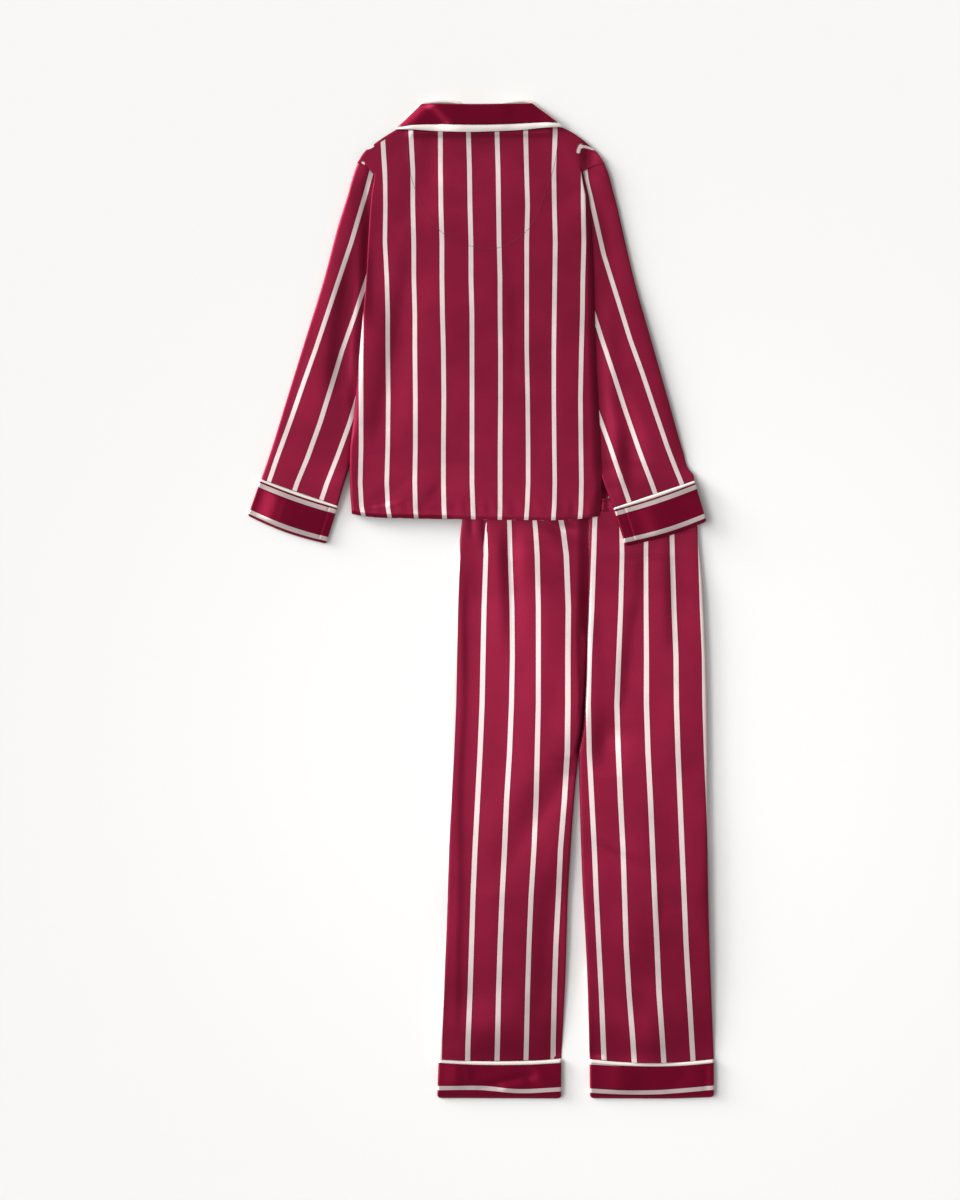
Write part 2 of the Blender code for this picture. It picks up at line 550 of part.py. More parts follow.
def legs(satin):
    """Each leg has a flat front and a fuller back that rolls down to it at both sides."""
    floor_line = LEG_LEFT_OUTER[0][1]
    for side, left, right, seam_first in (
            ("left", LEG_LEFT_OUTER, chain(LEG_LEFT_INNER, RISE_SEAM), False),
            ("right", chain(LEG_RIGHT_INNER, RISE_SEAM), LEG_RIGHT_OUTER, True)):
        gap = 0.5 * SEAM
        if seam_first:
            left = tuple((px + gap, py) for px, py in left)
        else:
            right = tuple((px - gap, py) for px, py in right)
        hem = (left[0], right[0])
        waist = (left[-1], right[-1])
        edges = (left, right, hem, waist)
        flat_panel("trouser_front_" + side, satin, edges, 5, 16, lambda x, y: 0.0 * x, line=straight)
        width = right[0][0] - left[0][0]
        length = left[-1][1] - floor_line
        waist_width = right[-1][0] - left[-1][0]
        at_folds = fold_shares(FOLDS_TROUSERS, left[-1][0], waist_width)
        across = np.unique(np.round(np.concatenate([rolled_shares(6, width), at_folds]), 3))
        up = np.concatenate([np.linspace(0.0, 0.8, 12)[:-1], np.linspace(0.8, 1.0, 8)])
        u, v = np.meshgrid(across, up)
        x, y = area_between(*edges, u, v, line=straight)
        low = CLOTH + RIM
        crown = LEG_CROWN * np.sin(np.pi * u) * smooth(((1.0 - v) * length - CROWN_START) / CROWN_RAMP)
        top = LEG_FULL - SEAM + crown + folds(x, y, FOLDS_TROUSERS)
        z = low + (top - low) * rolled(np.minimum(u, 1.0 - u) * width)
        wall_object("trouser_back_" + side, satin, x, y, z)


def waistband(satin):
    """Elastic casing, drawn up into gathers on its upper side."""
    left = ((WAIST_LEFT_X[0], WAIST_SEAM_Y), (WAIST_LEFT_X[1], WAIST_Y))
    right = ((WAIST_RIGHT_X[0], WAIST_SEAM_Y), (WAIST_RIGHT_X[1], WAIST_Y))
    width = WAIST_RIGHT_X[0] - WAIST_LEFT_X[0]

    def height(x, y, v):
        wave = np.cos(2.0 * np.pi * GATHERS * (x - WAIST_LEFT_X[0]) / width)
        return WAISTBAND_FULL - GATHER_DEPTH + GATHER_DEPTH * wave

    tube("waistband", satin, (left, right, (left[0], right[0]), (left[1], right[1])),
         3 * GATHERS + 1, 2, lambda x, y: 0.0 * x, height, line=straight)


def hem_bands(satin, cream):
    """Each leg ends in a band with flat piping let into the seam above it."""
    for side, left, right, top, bottom in HEM_BANDS:
        for name, material, low, high, rise, rows in (
                ("hem_band_" + side, satin, bottom, top - PIPING_WIDTH - SEAM, 0.0, 3),
                ("hem_piping_" + side, cream, top - PIPING_WIDTH, top - SEAM, PIPING_RISE, 2)):
            edges = (((left, low), (left, high)), ((right, low), (right, high)),
                     ((left, low), (right, low)), ((left, high), (right, high)))
            tube(name, material, edges, 7, rows, lambda x, y: 0.0 * x,
                 lambda x, y, v, rise=rise: LEG_FULL + rise + 0.0 * x, line=straight)


def build():
    """Builds every piece into one collection."""
    clear_scene()
    collection = bpy.data.collections.new(COLLECTION)
    bpy.context.scene.collection.children.link(collection)
    satin = finish_material("striped_satin", SATIN, 0.38, 0.3)
    cream = finish_material("cream_piping", CREAM, 0.45, 0.2)
    pearl = finish_material("button_pearl", PEARL, 0.3, 0.0)
    shirt_back(satin)
    shirt_fronts(satin)
    sleeves(satin)
    cuffs(satin, cream)
    collar(satin, cream)
    collar_front(satin)
    buttons(pearl)
    legs(satin)
    waistband(satin)
    hem_bands(satin, cream)


build()
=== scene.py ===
"""Striped satin pyjama set, laid flat with its back up.

The sections follow the set as it is laid: the trousers first, then the shirt's fronts with their collar
points, lapels and buttons, the sleeves and cuffs, the shirt's back and the collar's fall over it.
Plan positions and heights are in millimetres until a mesh is made.
"""

import bpy
import numpy as np
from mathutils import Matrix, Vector


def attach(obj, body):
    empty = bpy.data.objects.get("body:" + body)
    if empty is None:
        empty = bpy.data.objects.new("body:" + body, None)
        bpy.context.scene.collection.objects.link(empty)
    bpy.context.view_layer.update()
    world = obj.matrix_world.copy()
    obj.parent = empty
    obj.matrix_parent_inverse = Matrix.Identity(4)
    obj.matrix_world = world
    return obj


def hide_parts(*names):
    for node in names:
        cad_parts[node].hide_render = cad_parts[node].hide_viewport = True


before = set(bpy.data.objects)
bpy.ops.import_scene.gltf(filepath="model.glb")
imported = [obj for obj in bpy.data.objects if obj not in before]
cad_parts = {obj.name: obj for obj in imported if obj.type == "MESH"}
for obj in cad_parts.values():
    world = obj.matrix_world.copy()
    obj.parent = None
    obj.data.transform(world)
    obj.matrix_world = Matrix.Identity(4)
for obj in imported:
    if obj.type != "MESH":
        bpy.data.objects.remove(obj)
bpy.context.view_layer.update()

# ---------------------------------------------------------------- Floor, light and camera
# A pale paper floor, three lamps low on the left with pale light all round, a faint spot on the legs,
# and a camera straight above the middle of the set.
FLOOR_REACH = 9.0
FLOOR_Z = -0.0002
LAMPS = (
    # name, strength, angle it spreads over, where it stands
    ("window_light", 1.0, 24.0, (-0.70, -0.06, 0.70)),
    ("broad_lamp", 3.2, 50.0, (-0.80, 0.45, 0.40)),
    ("low_lamp", 2.9, 20.0, (-0.86, 0.47, 0.20)),
)
SPOT_AT = Vector((-0.55, -0.10, 2.2))
SPOT_AIM = Vector((0.14, -0.20, 0.0))
CAMERA_AT = (-0.0013, -0.0007, 4.0)
VIEW_HEIGHT = 1.740         # metres of floor from the top of the frame to its bottom
SENSOR = 36.0


def put_in_scene(name, data):
    """Puts a mesh, a lamp or a camera in the scene under its name."""
    made = bpy.data.objects.new(name, data)
    bpy.context.scene.collection.objects.link(made)
    return made


def feed_finish(owner, name, inputs):
    """Sets what goes into one step of a finish, in order or by name: a constant or another step's result."""
    node = owner.node_tree.nodes[name]
    for key, value in (inputs.items() if isinstance(inputs, dict) else enumerate(inputs)):
        if isinstance(value, bpy.types.NodeSocket):
            owner.node_tree.links.new(value, node.inputs[key])
        else:
            node.inputs[key].default_value = value


def finish_step(owner, kind, inputs=(), out=0, **settings):
    """Adds one step to a finish, with its settings and what goes into it, and returns what it gives."""
    node = owner.node_tree.nodes.new("ShaderNode" + kind)
    for key, value in settings.items():
        setattr(node, key, value)
    feed_finish(owner, node.name, inputs)
    return node.outputs[out]


def new_finish(name):
    """New material, still plain."""
    material = bpy.data.materials.new(name)
    material.use_nodes = True
    return material


paper_mesh = bpy.data.meshes.new("paper_floor")
paper_mesh.from_pydata([(to_x * FLOOR_REACH, to_y * FLOOR_REACH, FLOOR_Z)
                        for to_x, to_y in ((-1, -1), (1, -1), (1, 1), (-1, 1))], [], [(0, 1, 2, 3)])
paper = new_finish("paper")
feed_finish(paper, "Principled BSDF",
            {"Base Color": (0.798, 0.790, 0.775, 1.0), "Roughness": 0.9, "Specular IOR Level": 0.0})
paper_floor = put_in_scene("paper_floor", paper_mesh)
paper_floor.data.materials.append(paper)

for name, energy, spread, stands_at in LAMPS:
    light = bpy.data.lights.new(name, "SUN")
    light.energy = energy
    light.angle = np.radians(spread)
    put_in_scene(name, light).rotation_euler = Vector(stands_at).to_track_quat("Z", "Y").to_euler()

light = bpy.data.lights.new("leg_light", "SPOT")
light.energy = 27.0
light.spot_size = np.radians(34.0)
light.spot_blend = 1.0
light.shadow_soft_size = 0.35
spot = put_in_scene("leg_light", light)
spot.location = SPOT_AT
spot.rotation_euler = (SPOT_AT - SPOT_AIM).to_track_quat("Z", "Y").to_euler()

room = bpy.data.worlds.new("pale_room")
room.use_nodes = True
feed_finish(room, "Background", {"Color": (1.0, 1.0, 1.0, 1.0), "Strength": 0.37})
bpy.context.scene.world = room
bpy.context.scene.view_settings.view_transform = "Standard"

lens = bpy.data.cameras.new("overhead")
lens.sensor_fit = "VERTICAL"
lens.sensor_height = SENSOR
lens.lens = SENSOR * CAMERA_AT[2] / VIEW_HEIGHT
lens.clip_end = 60.0
camera = put_in_scene("overhead", lens)
camera.location = CAMERA_AT
bpy.context.scene.camera = camera

# ---------------------------------------------------------------- Trouser legs
# Each leg is a front and a back panel of striped satin, joined down both sides into a wide tube that
# lies flat. The two legs are sewn together along the rise seam, and the elastic draws their top in.
MM = 0.001
CLOTH = 0.5             # one layer of satin
LOFT = 1.5              # air between the layers lifts every height by this much
PITCH = 41.0            # from one cream stripe to the next
SEAM = 0.3              # width of a seam's groove
FOLD_FADE = 10.0        # how far past its ends a long fold fades out
LEG_WIDTH = 180.0       # sets the spacing of its columns
LEG_STEP = 3.0
LEG_ROWS = np.linspace(0.0, 1.0, 264)
LEG_FULL = 4.4
LEG_CROWN = 0.9         # how much higher the middle of a leg lies than its sides
LEG_AIR = 2.2           # how much higher the leg lies where nothing lies on it
LEG_FOLD = 2.2          # reach of the half round fold at a leg's side
CROTCH_Y = -221.0
CREASE_X = 7.2          # a crease at the waist that the cream stripe beside it sinks into
WAIST_SEAM_Y = 127.5
RISE_SEAM = ((141.5, -221), (148, -189), (151.5, -146), (155, -30), (156.8, 57), (157, WAIST_SEAM_Y - SEAM))
LEG_LEFT_OUTER = ((-61.5, -665.5), (-57, -595), (-52, -525.5), (-49, -456), (-47, -392), (-45.5, -340),
    (-44, -224), (-42.5, -131), (-39.5, -61.5), (-36, 8), (-32, 54.5), (-29, 101), (-25, WAIST_SEAM_Y - SEAM))
LEG_LEFT_INNER = ((116.5, -665.5), (122, -556), (127, -411), (129, -377.5), (135, -290), (141.5, -221))
LEG_RIGHT_INNER = ((157.5, -665.5), (153, -524), (146.5, -401), (144.5, -345), (143, -290), (141.5, -221))
LEG_RIGHT_OUTER = ((337.5, -665.5), (330.5, -479), (328.3, -362), (327.6, -192), (324.5, -63),
    (318.3, 53.5), (314, 101), (311.5, WAIST_SEAM_Y - SEAM))
LEG_LEFT_END = ((-61.5, -665.5), (-20, -667.8), (28, -668.6), (75, -667.8), (116.5, -665.5))
LEG_RIGHT_END = ((157.5, -665.5), (200, -669.4), (247, -670.6), (295, -669.4), (337.5, -665.5))
LEG_LEFT_STRIPES = (
    # y, x of each cream stripe, and where the next one would come
    (121.1, (5.9, 40.7, 77, 114, 160)), (99.3, (5.9, 41.5, 79.2, 119, 165)),
    (64.5, (7.4, 42.2, 81.3, 123.4, 169.4)), (-12.3, (4.5, 45.1, 82.8, 126.3, 172.3)),
    (-81.9, (3, 45.8, 82.8, 125.6, 171.6)), (-151.5, (1.6, 44.4, 82.8, 125.6, 171.6)),
    (-221.1, (-1.3, 41.5, 81.3, 124.8, 170.8)), (-290.7, (-4.9, 37.1, 79.9, 120.5, 166.5)),
    (-360.3, (-8.6, 34.2, 77, 114.7, 160.7)), (-429.9, (-11.5, 30.6, 72.6, 111.8, 157.8)),
    (-499.5, (-13.6, 27.7, 69.7, 108.2, 154.2)), (-569.1, (-15.8, 25.5, 67.6, 106, 152)),
    (-638.7, (-18.7, 24.1, 66.1, 104.5, 150.5)), (-670.6, (-19.4, 23.3, 65.4, 104.3, 150.3)),
)
LEG_RIGHT_STRIPES = (
    (121.1, (165.4, 203.1, 239.4, 275.6)), (99.3, (164.4, 203.9, 239.1, 276.4)),
    (64.5, (163.3, 204.6, 238.7, 277.1)), (-12.3, (160.4, 202.4, 238.7, 279.3)),
    (-81.9, (156.7, 199.5, 239.4, 282.2)), (-151.5, (155.3, 196.6, 239.4, 282.9)),
    (-221.1, (156.7, 198.8, 241.6, 285.1)), (-290.7, (160.4, 201.7, 245.2, 288)),
    (-360.3, (164, 205.3, 248.1, 290.9)), (-429.9, (166.9, 207.5, 251, 293.8)),
    (-499.5, (170.5, 209.7, 254.6, 296.7)), (-569.1, (174.1, 214, 257.5, 301)),
    (-638.7, (177, 219.8, 262.6, 305.4)), (-670.6, (178.5, 222, 264.8, 307.5)),
)
LEG_LEFT_FOLDS = (
    # reach to the left, reach to the right, (x, y, height) down the fold
    (32, 32, ((2, 117, 0.2), (-1, 57, -1.8), (-2, -30, -1.6), (-15, -146, -1.9), (-17, -262, -2.2),
        (-18, -378, -1.7), (-19, -494, -0.9), (-19, -581, -1.2), (-38, -653, 0))),
    (11, 17, ((41, 117, 0.2), (42, 57, -3.4), (44, 14, -2.3), (45, -30, -1.6), (46, -88, 0))),
    (20, 32, ((85, 86, -0.4), (101, -30, 0.7), (85, -146, 0.7), (94, -233, 0))),
    (27, 31, ((27, 117, 0.2), (31, -1, 0.6), (31, -117, -1.1), (31, -233, -1.6), (26, -349, 0))),
    (32, 24, ((140, -236, -0.5), (118, -262, -0.9), (82, -312, -1.3), (45, -370, -1), (17, -428, 0))),
    (20, 32, ((121, -320, 0), (108, -370, 0.7), (103, -443, -1.5), (99, -494, -2.1), (95, -552, -2.4),
        (86, -610, -1.2), (91, -660, 0))),
    (32, 32, ((131, -59, 0), (143, -146, 1.8), (128, -211, 1.2), (115, -254, 0))),
    (13, 32, ((101, 117, 0.2), (117, 98, -1.5), (117, 72, 0))),
    (4, 3, ((4, 125, -0.2), (5, 105, -1.2), (6, 80, -0.6), (6, 62, 0))),
    (4, 3, ((-13, 125, -0.2), (-13, 110, -0.8), (-12.5, 85, 0))),
    (10, 5, ((-24, 40, 0), (-27, 0, 0.7), (-27, -146, 0.7), (-33, -262, 0.8), (-33, -436, 0.7),
        (-35, -494, 0.8), (-36, -595, 0.5), (-38, -640, 0))),
)
LEG_LEFT_HOLLOWS = (
    # x, y, reach across, reach along, height
    (83, -680, 50, 35, -4), (28, -673, 45, 38, -3.4), (-13, -571, 43, 29, -1), (117, -630, 23, 73, -4),
)
LEG_RIGHT_FOLDS = (
    # reach to the left, reach to the right, (x, y, height) down the fold
    (17, 32, ((186, -88, 0), (182, -146, -0.6), (182, -204, -3), (178, -254, 0))),
    (13, 27, ((244, 79, -0.4), (239, 50, -2.1), (235, 7, -1.1), (224, -37, -1.1), (217, -88, -1.6),
        (213, -138, -1.1), (207, -175, 0))),
    (9, 29, ((280, 94, -1), (279, 36, -1.7), (280, -30, -1.3), (279, -80, 0))),
    (29, 13, ((175, 101, 0.2), (160, 14, 0.2), (160, -73, 0.8), (172, -131, 0))),
    (32, 32, ((244, 57, 1.4), (260, -117, -1.1), (237, -233, -0.3), (237, -378, 1), (253, -479, 0))),
    (13, 23, ((150, -291, 0), (182, -349, 0.6), (238, -392, -0.3), (253, -450, 0.5), (260, -508, 0))),
    (15, 32, ((176, -334, 0), (185, -385, 0.5), (195, -443, -0.4), (194, -508, 0))),
    (32, 12, ((321, -247, 0), (321, -349, 1.4), (321, -479, 1.4), (337, -595, -0.9), (337, -660, 0))),
    (4, 15, ((261, -381, 0), (261, -414, -0.2), (260, -453, -0.6), (260, -479, 0))),
    (14, 26, ((224, -566, 0), (250, -602, -0.6), (273, -646, -0.7), (266, -662, -0.1))),
    (14, 11, ((150, -508, 0), (160, -581, -0.4), (165, -660, -2.1))),
)
LEG_RIGHT_HOLLOWS = (
    # x, y, reach across, reach along, height
    (234, -595, 24, 58, -2.7), (234, -628, 31, 70, 4), (253, -661, 51, 18, -1), (333, -682, 42, 69, -3.5),
    (188, -684, 48, 61, -4), (226, -460, 54, 67, 2.3),
)


def ease(value, start=0.0, end=1.0):
    """Goes from 0 at the start to 1 at the end as three squares less two cubes, and stays flat outside."""
    share = np.clip((value - start) / (end - start), 0.0, 1.0)
    return share * share * (3.0 - 2.0 * share)


def fine_line(points, pieces=12):
    """Smooth line through points: cubic stretches whose slopes are those of the neighbouring points."""
    points = np.asarray(points, dtype=float)
    span = np.linalg.norm(np.diff(points, axis=0), axis=1)
    slope = np.gradient(points, np.concatenate([[0.0], np.cumsum(span)]), axis=0)
    t = np.linspace(0.0, 1.0, pieces, endpoint=False)[None, :, None]
    span = span[:, None, None]
    start, end = points[:-1, None], points[1:, None]
    line = ((1 + 2 * t) * (1 - t) ** 2 * start + t * (1 - t) ** 2 * span * slope[:-1, None]
            + t * t * (3 - 2 * t) * end + t * t * (t - 1) * span * slope[1:, None])
    return np.concatenate([line.reshape(-1, points.shape[1]), points[-1:]])


def joined(*lines):
    """One line from smooth stretches that meet end to end at a corner."""
    fine = [fine_line(line) for line in lines]
    return np.concatenate([fine[0]] + [line[1:] for line in fine[1:]])


def beside(line, y):
    """x of a line that runs upwards, at the given y."""
    line = np.asarray(line, dtype=float)
    return np.interp(y, line[:, 1], line[:, 0])


def read_off(line, share):
    """Points at the given shares of a line's length."""
    line = np.asarray(line, dtype=float)
    run = np.concatenate([[0.0], np.cumsum(np.linalg.norm(np.diff(line, axis=0), axis=1))])
    at = np.clip(share, 0.0, 1.0) * run[-1]
    return np.interp(at, run, line[:, 0]), np.interp(at, run, line[:, 1])


def plan_between(left, right, bottom, top, u, v):
    """Points inside four lines: blend of left and right, plus blend of bottom and top, less the corners'."""
    plan = []
    for axis in (0, 1):
        a, b = (np.asarray(line, dtype=float)[[0, -1], axis] for line in (left, right))
        sides = (1 - u) * read_off(left, v)[axis] + u * read_off(right, v)[axis]
        ends = (1 - v) * read_off(bottom, u)[axis] + v * read_off(top, u)[axis]
        corners = (1 - v) * ((1 - u) * a[0] + u * b[0]) + v * ((1 - u) * a[1] + u * b[1])
        plan.append(sides + ends - corners)
    return plan


def from_line(x, y, x0, y0, x1, y1):
    """Share along a straight line at the point nearest to each place, and the distance to that point."""
    run_x, run_y = x1 - x0, y1 - y0
    share = ((x - x0) * run_x + (y - y0) * run_y) / (run_x ** 2 + run_y ** 2)
    nearest = np.clip(share, 0.0, 1.0)
    return share, np.hypot(x - x0 - nearest * run_x, y - y0 - nearest * run_y)


def long_folds(x, y, table):
    """Sum of folds down the cloth: at each height a bell across, with its own reach to either side."""
    total = np.zeros_like(x)
    for left_reach, right_reach, line in table:
        line = fine_line(line)[::-1]
        bottom, top = line[0, 1], line[-1, 1]
        off = x - beside(line, y)
        height = np.interp(y, line[:, 1], line[:, 2])
        height = height * ease(y, top + FOLD_FADE, top) * ease(y, bottom - FOLD_FADE, bottom)
        total += height * np.exp(-(off / np.where(off < 0.0, left_reach, right_reach)) ** 2)
    return total


def hollows(x, y, table):
    """Sum of round bells: each falls off with the squares of the distances over its two reaches."""
    total = np.zeros_like(x)
    for middle_x, middle_y, reach_x, reach_y, height in table:
        total += height * np.exp(-((x - middle_x) / reach_x) ** 2 - ((y - middle_y) / reach_y) ** 2)
    return total


def stripe_number(x, y, table):
    """Stripes counted across the cloth: whole at each cream stripe, even between and one per pitch beyond."""
    heights = np.array([row[0] for row in table])[::-1]
    places = np.array([row[1] for row in table], dtype=float)[::-1]
    at = [np.interp(y, heights, places[:, k]) for k in range(places.shape[1])]
    count = np.minimum(x - at[0], 0.0) / PITCH + np.maximum(x - at[-1], 0.0) / PITCH
    for near, far in zip(at[:-1], at[1:]):
        count = count + np.clip((x - near) / (far - near), 0.0, 1.0)
    return count


def count_round(x, y, table, far):
    """Stripe count round a tube: past its far fold the count runs on, mirrored at the fold."""
    count = stripe_number(x, y, table)
    return np.where(np.arange(x.shape[1]) > far, 2.0 * count[:, far:far + 1] - count, count)


def once_round(width, step, fold, rows, seam_right=False):
    """Grid of shares across and along a flat tube, once round from its seam.

    The layer is 1 on top and 0 below, and a fold is a quarter round down to half way and a quarter round
    on to the other layer. The last value is the column of the far fold.
    """
    turn = np.radians(np.arange(0.0, 90.0, 15.0))
    inset = fold / width
    near = inset * (1.0 - np.cos(turn))
    flat = np.linspace(inset, 1.0 - inset, max(2, int(width / step)))
    rise = np.sin(turn)
    level = np.ones(len(flat))
    share = np.concatenate([near, flat, 1.0 - near[::-1], 1.0 - near[1:], flat[::-1], near[::-1]])
    side = np.concatenate([rise, level, rise[::-1], -rise[1:], -level, -rise[::-1]])
    u, v = np.meshgrid(1.0 - share if seam_right else share, rows)
    return u, v, 0.5 + 0.5 * side, len(near) * 2 + len(flat) - 1


def cloth_piece(name, x, y, z, across, along, material, ring=False, turned=False, wall=CLOTH):
    """Cloth through a grid of points, its rows running up the piece, with a wall under its outer side.

    The weave map holds the stripe count across and the millimetres along. A ring's last column lies on
    its first, and turned swaps the side that faces out.
    """
    rows, columns = x.shape
    kept = columns - 1 if ring else columns
    points = np.stack([x, y, z * LOFT], axis=-1)[:, :kept].reshape(-1, 3) * MM
    row, column = np.meshgrid(np.arange(rows - 1), np.arange(columns - 1), indexing="ij")
    corners = ((0, 0), (0, 1), (1, 1), (1, 0))[::-1 if turned else 1]
    at_row = np.stack([row + up for up, side in corners], axis=-1).reshape(-1, 4)
    at_column = np.stack([column + side for up, side in corners], axis=-1).reshape(-1, 4)
    mesh = bpy.data.meshes.new(name)
    mesh.from_pydata(points.tolist(), [], (at_row * kept + at_column % kept).tolist())
    place = np.stack([across, along * MM], axis=-1)[at_row, at_column]
    mesh.uv_layers.new(name="weave").data.foreach_set("uv", place.ravel())
    edge_of_corner = np.empty(len(mesh.loops), dtype=np.int32)
    mesh.loops.foreach_get("edge_index", edge_of_corner)
    mesh.shade_smooth()
    uses = np.bincount(edge_of_corner, minlength=len(mesh.edges))
    mesh.edges.foreach_set("use_edge_sharp", uses == 1)
    mesh.materials.append(material)
    piece = put_in_scene(name, mesh)
    thickness = piece.modifiers.new("wall", "SOLIDIFY")
    thickness.thickness = wall * MM
    thickness.offset = -1.0
    return piece


def place_piece(piece, slot, *nodes):
    """The piece rides on the root and takes the place of the given nodes; the slot is not used."""
    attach(piece, "root")
    if nodes:
        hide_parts(*nodes)


def mark_stripes(piece, values):
    """Mark at each point: from 0.3 up it is cream, from -0.6 down no stripe shows, at 0 it is as woven."""
    marks = piece.data.attributes.new("stripe_mark", "FLOAT", "POINT")
    marks.data.foreach_set("value", values.ravel().astype(np.float32))


def satin(name, ground, cream, half_stripe):
    """Satin with woven stripes: cream within the half width of each whole stripe count, floats along it."""
    material = new_finish(name)

    def put(kind, inputs=(), out=0, **settings):
        return finish_step(material, kind, inputs, out, **settings)

    def from_stripe(inner, outer, *result):
        """Result that changes between two distances from the stripe's own edge."""
        edges = ((half_stripe + inner) / PITCH, (half_stripe + outer) / PITCH)
        return put("MapRange", (off, *edges, *result))

    # Cream where the count is near a whole number, less what a mark hides and more what it adds.
    weave = put("UVMap", uv_map="weave")
    across = put("SeparateXYZ", (weave,), "X")
    nearest = put("Math", (across,), operation="ROUND")
    off = put("Math", (across, nearest), operation="SUBTRACT")
    off = put("Math", (off,), operation="ABSOLUTE")
    mark = put("Attribute", out="Fac", attribute_name="stripe_mark")
    shown = put("MapRange", (mark, -0.6, -0.2, 0.0, 1.0))
    shown = put("Math", (from_stripe(-0.15, 0.1, 1.0, 0.0), shown), operation="MULTIPLY")
    added = put("MapRange", (mark, 0.0, 0.3, 0.0, 1.0))
    cream_here = put("Math", (shown, added), operation="MAXIMUM")

    # Soft clouds in the dye and floats about 0.3 mm wide and 1.6 mm long; the burgundy just beside a stripe
    # is darkened as painted shade at the stripe's edge.
    place = put("TexCoord", out="Object")
    cloud = put("TexNoise", {"Vector": place, "Scale": 22.0, "Detail": 3.0}, "Fac")
    floats_at = put("Mapping", {"Vector": weave, "Scale": (150.0, 620.0, 1.0)})
    floats = put("TexNoise", {"Vector": floats_at, "Scale": 1.0, "Detail": 2.0}, "Fac")
    tone = put("MapRange", (cloud, 0.3, 0.7, 0.93, 1.06))
    thread = put("MapRange", (floats, 0.25, 0.75, 0.94, 1.06))
    shade = put("Math", (tone, thread), operation="MULTIPLY")
    # Painted shade: the ground is darkened over the 2 mm beside each stripe.
    dark = put("Math", (shade, from_stripe(0.2, 2.0, 0.72, 1.0)), operation="MULTIPLY")
    dyed = put("VectorMath", {0: ground, "Scale": dark}, operation="SCALE")
    pale = put("VectorMath", {0: cream, "Scale": shade}, operation="SCALE")
    colour = put("Mix", {"Factor": cream_here, "A": dyed, "B": pale}, "Result", data_type="RGBA")

    relief = put("Bump", {"Strength": 0.35, "Distance": 0.00002, "Height": floats})
    feed_finish(material, "Principled BSDF", {
        "Base Color": colour, "Roughness": put("MapRange", (cloud, 0.3, 0.7, 0.37, 0.43)),
        "Normal": relief, "Tangent": put("Tangent", direction_type="UV_MAP", uv_map="weave"),
        "Metallic": 0.62, "Specular IOR Level": 0.25, "Anisotropic": 0.8})
    return material


BURGUNDY = (0.212, 0.0042, 0.0295)
CREAM = (0.685, 0.557, 0.540)
lengthwise = satin("satin_lengthwise", BURGUNDY, CREAM, 3.6)
shirt_satin = satin("satin_shirt", BURGUNDY, CREAM, 3.35)

for side, left, right, end, stripes, table, low_places in (
        ("left", joined(LEG_LEFT_OUTER), joined(LEG_LEFT_INNER, RISE_SEAM) - (0.5 * SEAM, 0.0),
         LEG_LEFT_END, LEG_LEFT_STRIPES, LEG_LEFT_FOLDS, LEG_LEFT_HOLLOWS),
        ("right", joined(LEG_RIGHT_INNER, RISE_SEAM) + (0.5 * SEAM, 0.0), joined(LEG_RIGHT_OUTER),
         LEG_RIGHT_END, LEG_RIGHT_STRIPES, LEG_RIGHT_FOLDS, LEG_RIGHT_HOLLOWS)):
    seam_right = side == "left"
    u, v, layer, far = once_round(LEG_WIDTH, LEG_STEP, LEG_FOLD, LEG_ROWS, seam_right)
    x, y = plan_between(left, right, fine_line(end), (left[-1], right[-1]), u, v)
    crown = LEG_CROWN * np.sin(np.pi * u) * ease(y, 120.0, 30.0)
    air = LEG_AIR * ease(y, 72.0, -8.0) * (0.5 + 0.5 * ease(y, -668.0, -608.0))
    top = LEG_FULL + crown + air + long_folds(x, y, table) + hollows(x, y, low_places)
    if seam_right:
        # The left leg slopes down to the rise seam, more broadly the higher up it is.
        slope_width = 5.0 + 12.0 * ease(y, CROTCH_Y, -21.0)
        slope_down = ease(beside(right, y) - x, slope_width, 0.0) * ease(y, -235.0, -210.0)
        top = top * (1.0 - 0.85 * slope_down)
    across = count_round(x, y, stripes, far)
    leg = cloth_piece("leg_" + side, x, y, top * layer, across, y, lengthwise, True, seam_right)
    if seam_right:
        # The stripe beside the crease narrows towards the waist seam, where the crease swallows it.
        from_crease = np.abs(x - CREASE_X)
        half_left = 0.4 + 3.9 * ease(y, 122.0, 67.0) - from_crease
        narrowed = np.where((y > 60.0) & (from_crease < 9.0), np.minimum(half_left, 0.0), 0.0)
        mark_stripes(leg, narrowed[:, :-1])
    place_piece(leg, "striped_satin", "trouser_back_" + side, "trouser_front_" + side)

# ---------------------------------------------------------------- Waist casing
# A band of the same satin folded over an elastic, which draws it up into soft gathers. It is sewn to
# the top of both legs and lies under the shirt's hem.
WAIST_Y = 147.0
WAIST_LOW = ((-25.0, WAIST_SEAM_Y), (311.5, WAIST_SEAM_Y))
WAIST_HIGH = ((-23.0, WAIST_Y), (310.0, WAIST_Y))
WAIST_WIDTH = 334.0
WAIST_FULL = 4.2
WAIST_STEP = 1.6
GATHERS = 23
GATHER_DEPTH = 0.45
GATHERED_PITCH = 0.8 * PITCH


def plan_above(low, high, u, v):
    """Points between a low and a high line, with straight sides from end to end."""
    return plan_between((low[0], high[0]), (low[-1], high[-1]), low, high, u, v)


u, v, layer, _ = once_round(WAIST_WIDTH, WAIST_STEP, LEG_FOLD, np.linspace(0.0, 1.0, 15))
x, y = plan_above(WAIST_LOW, WAIST_HIGH, u, v)
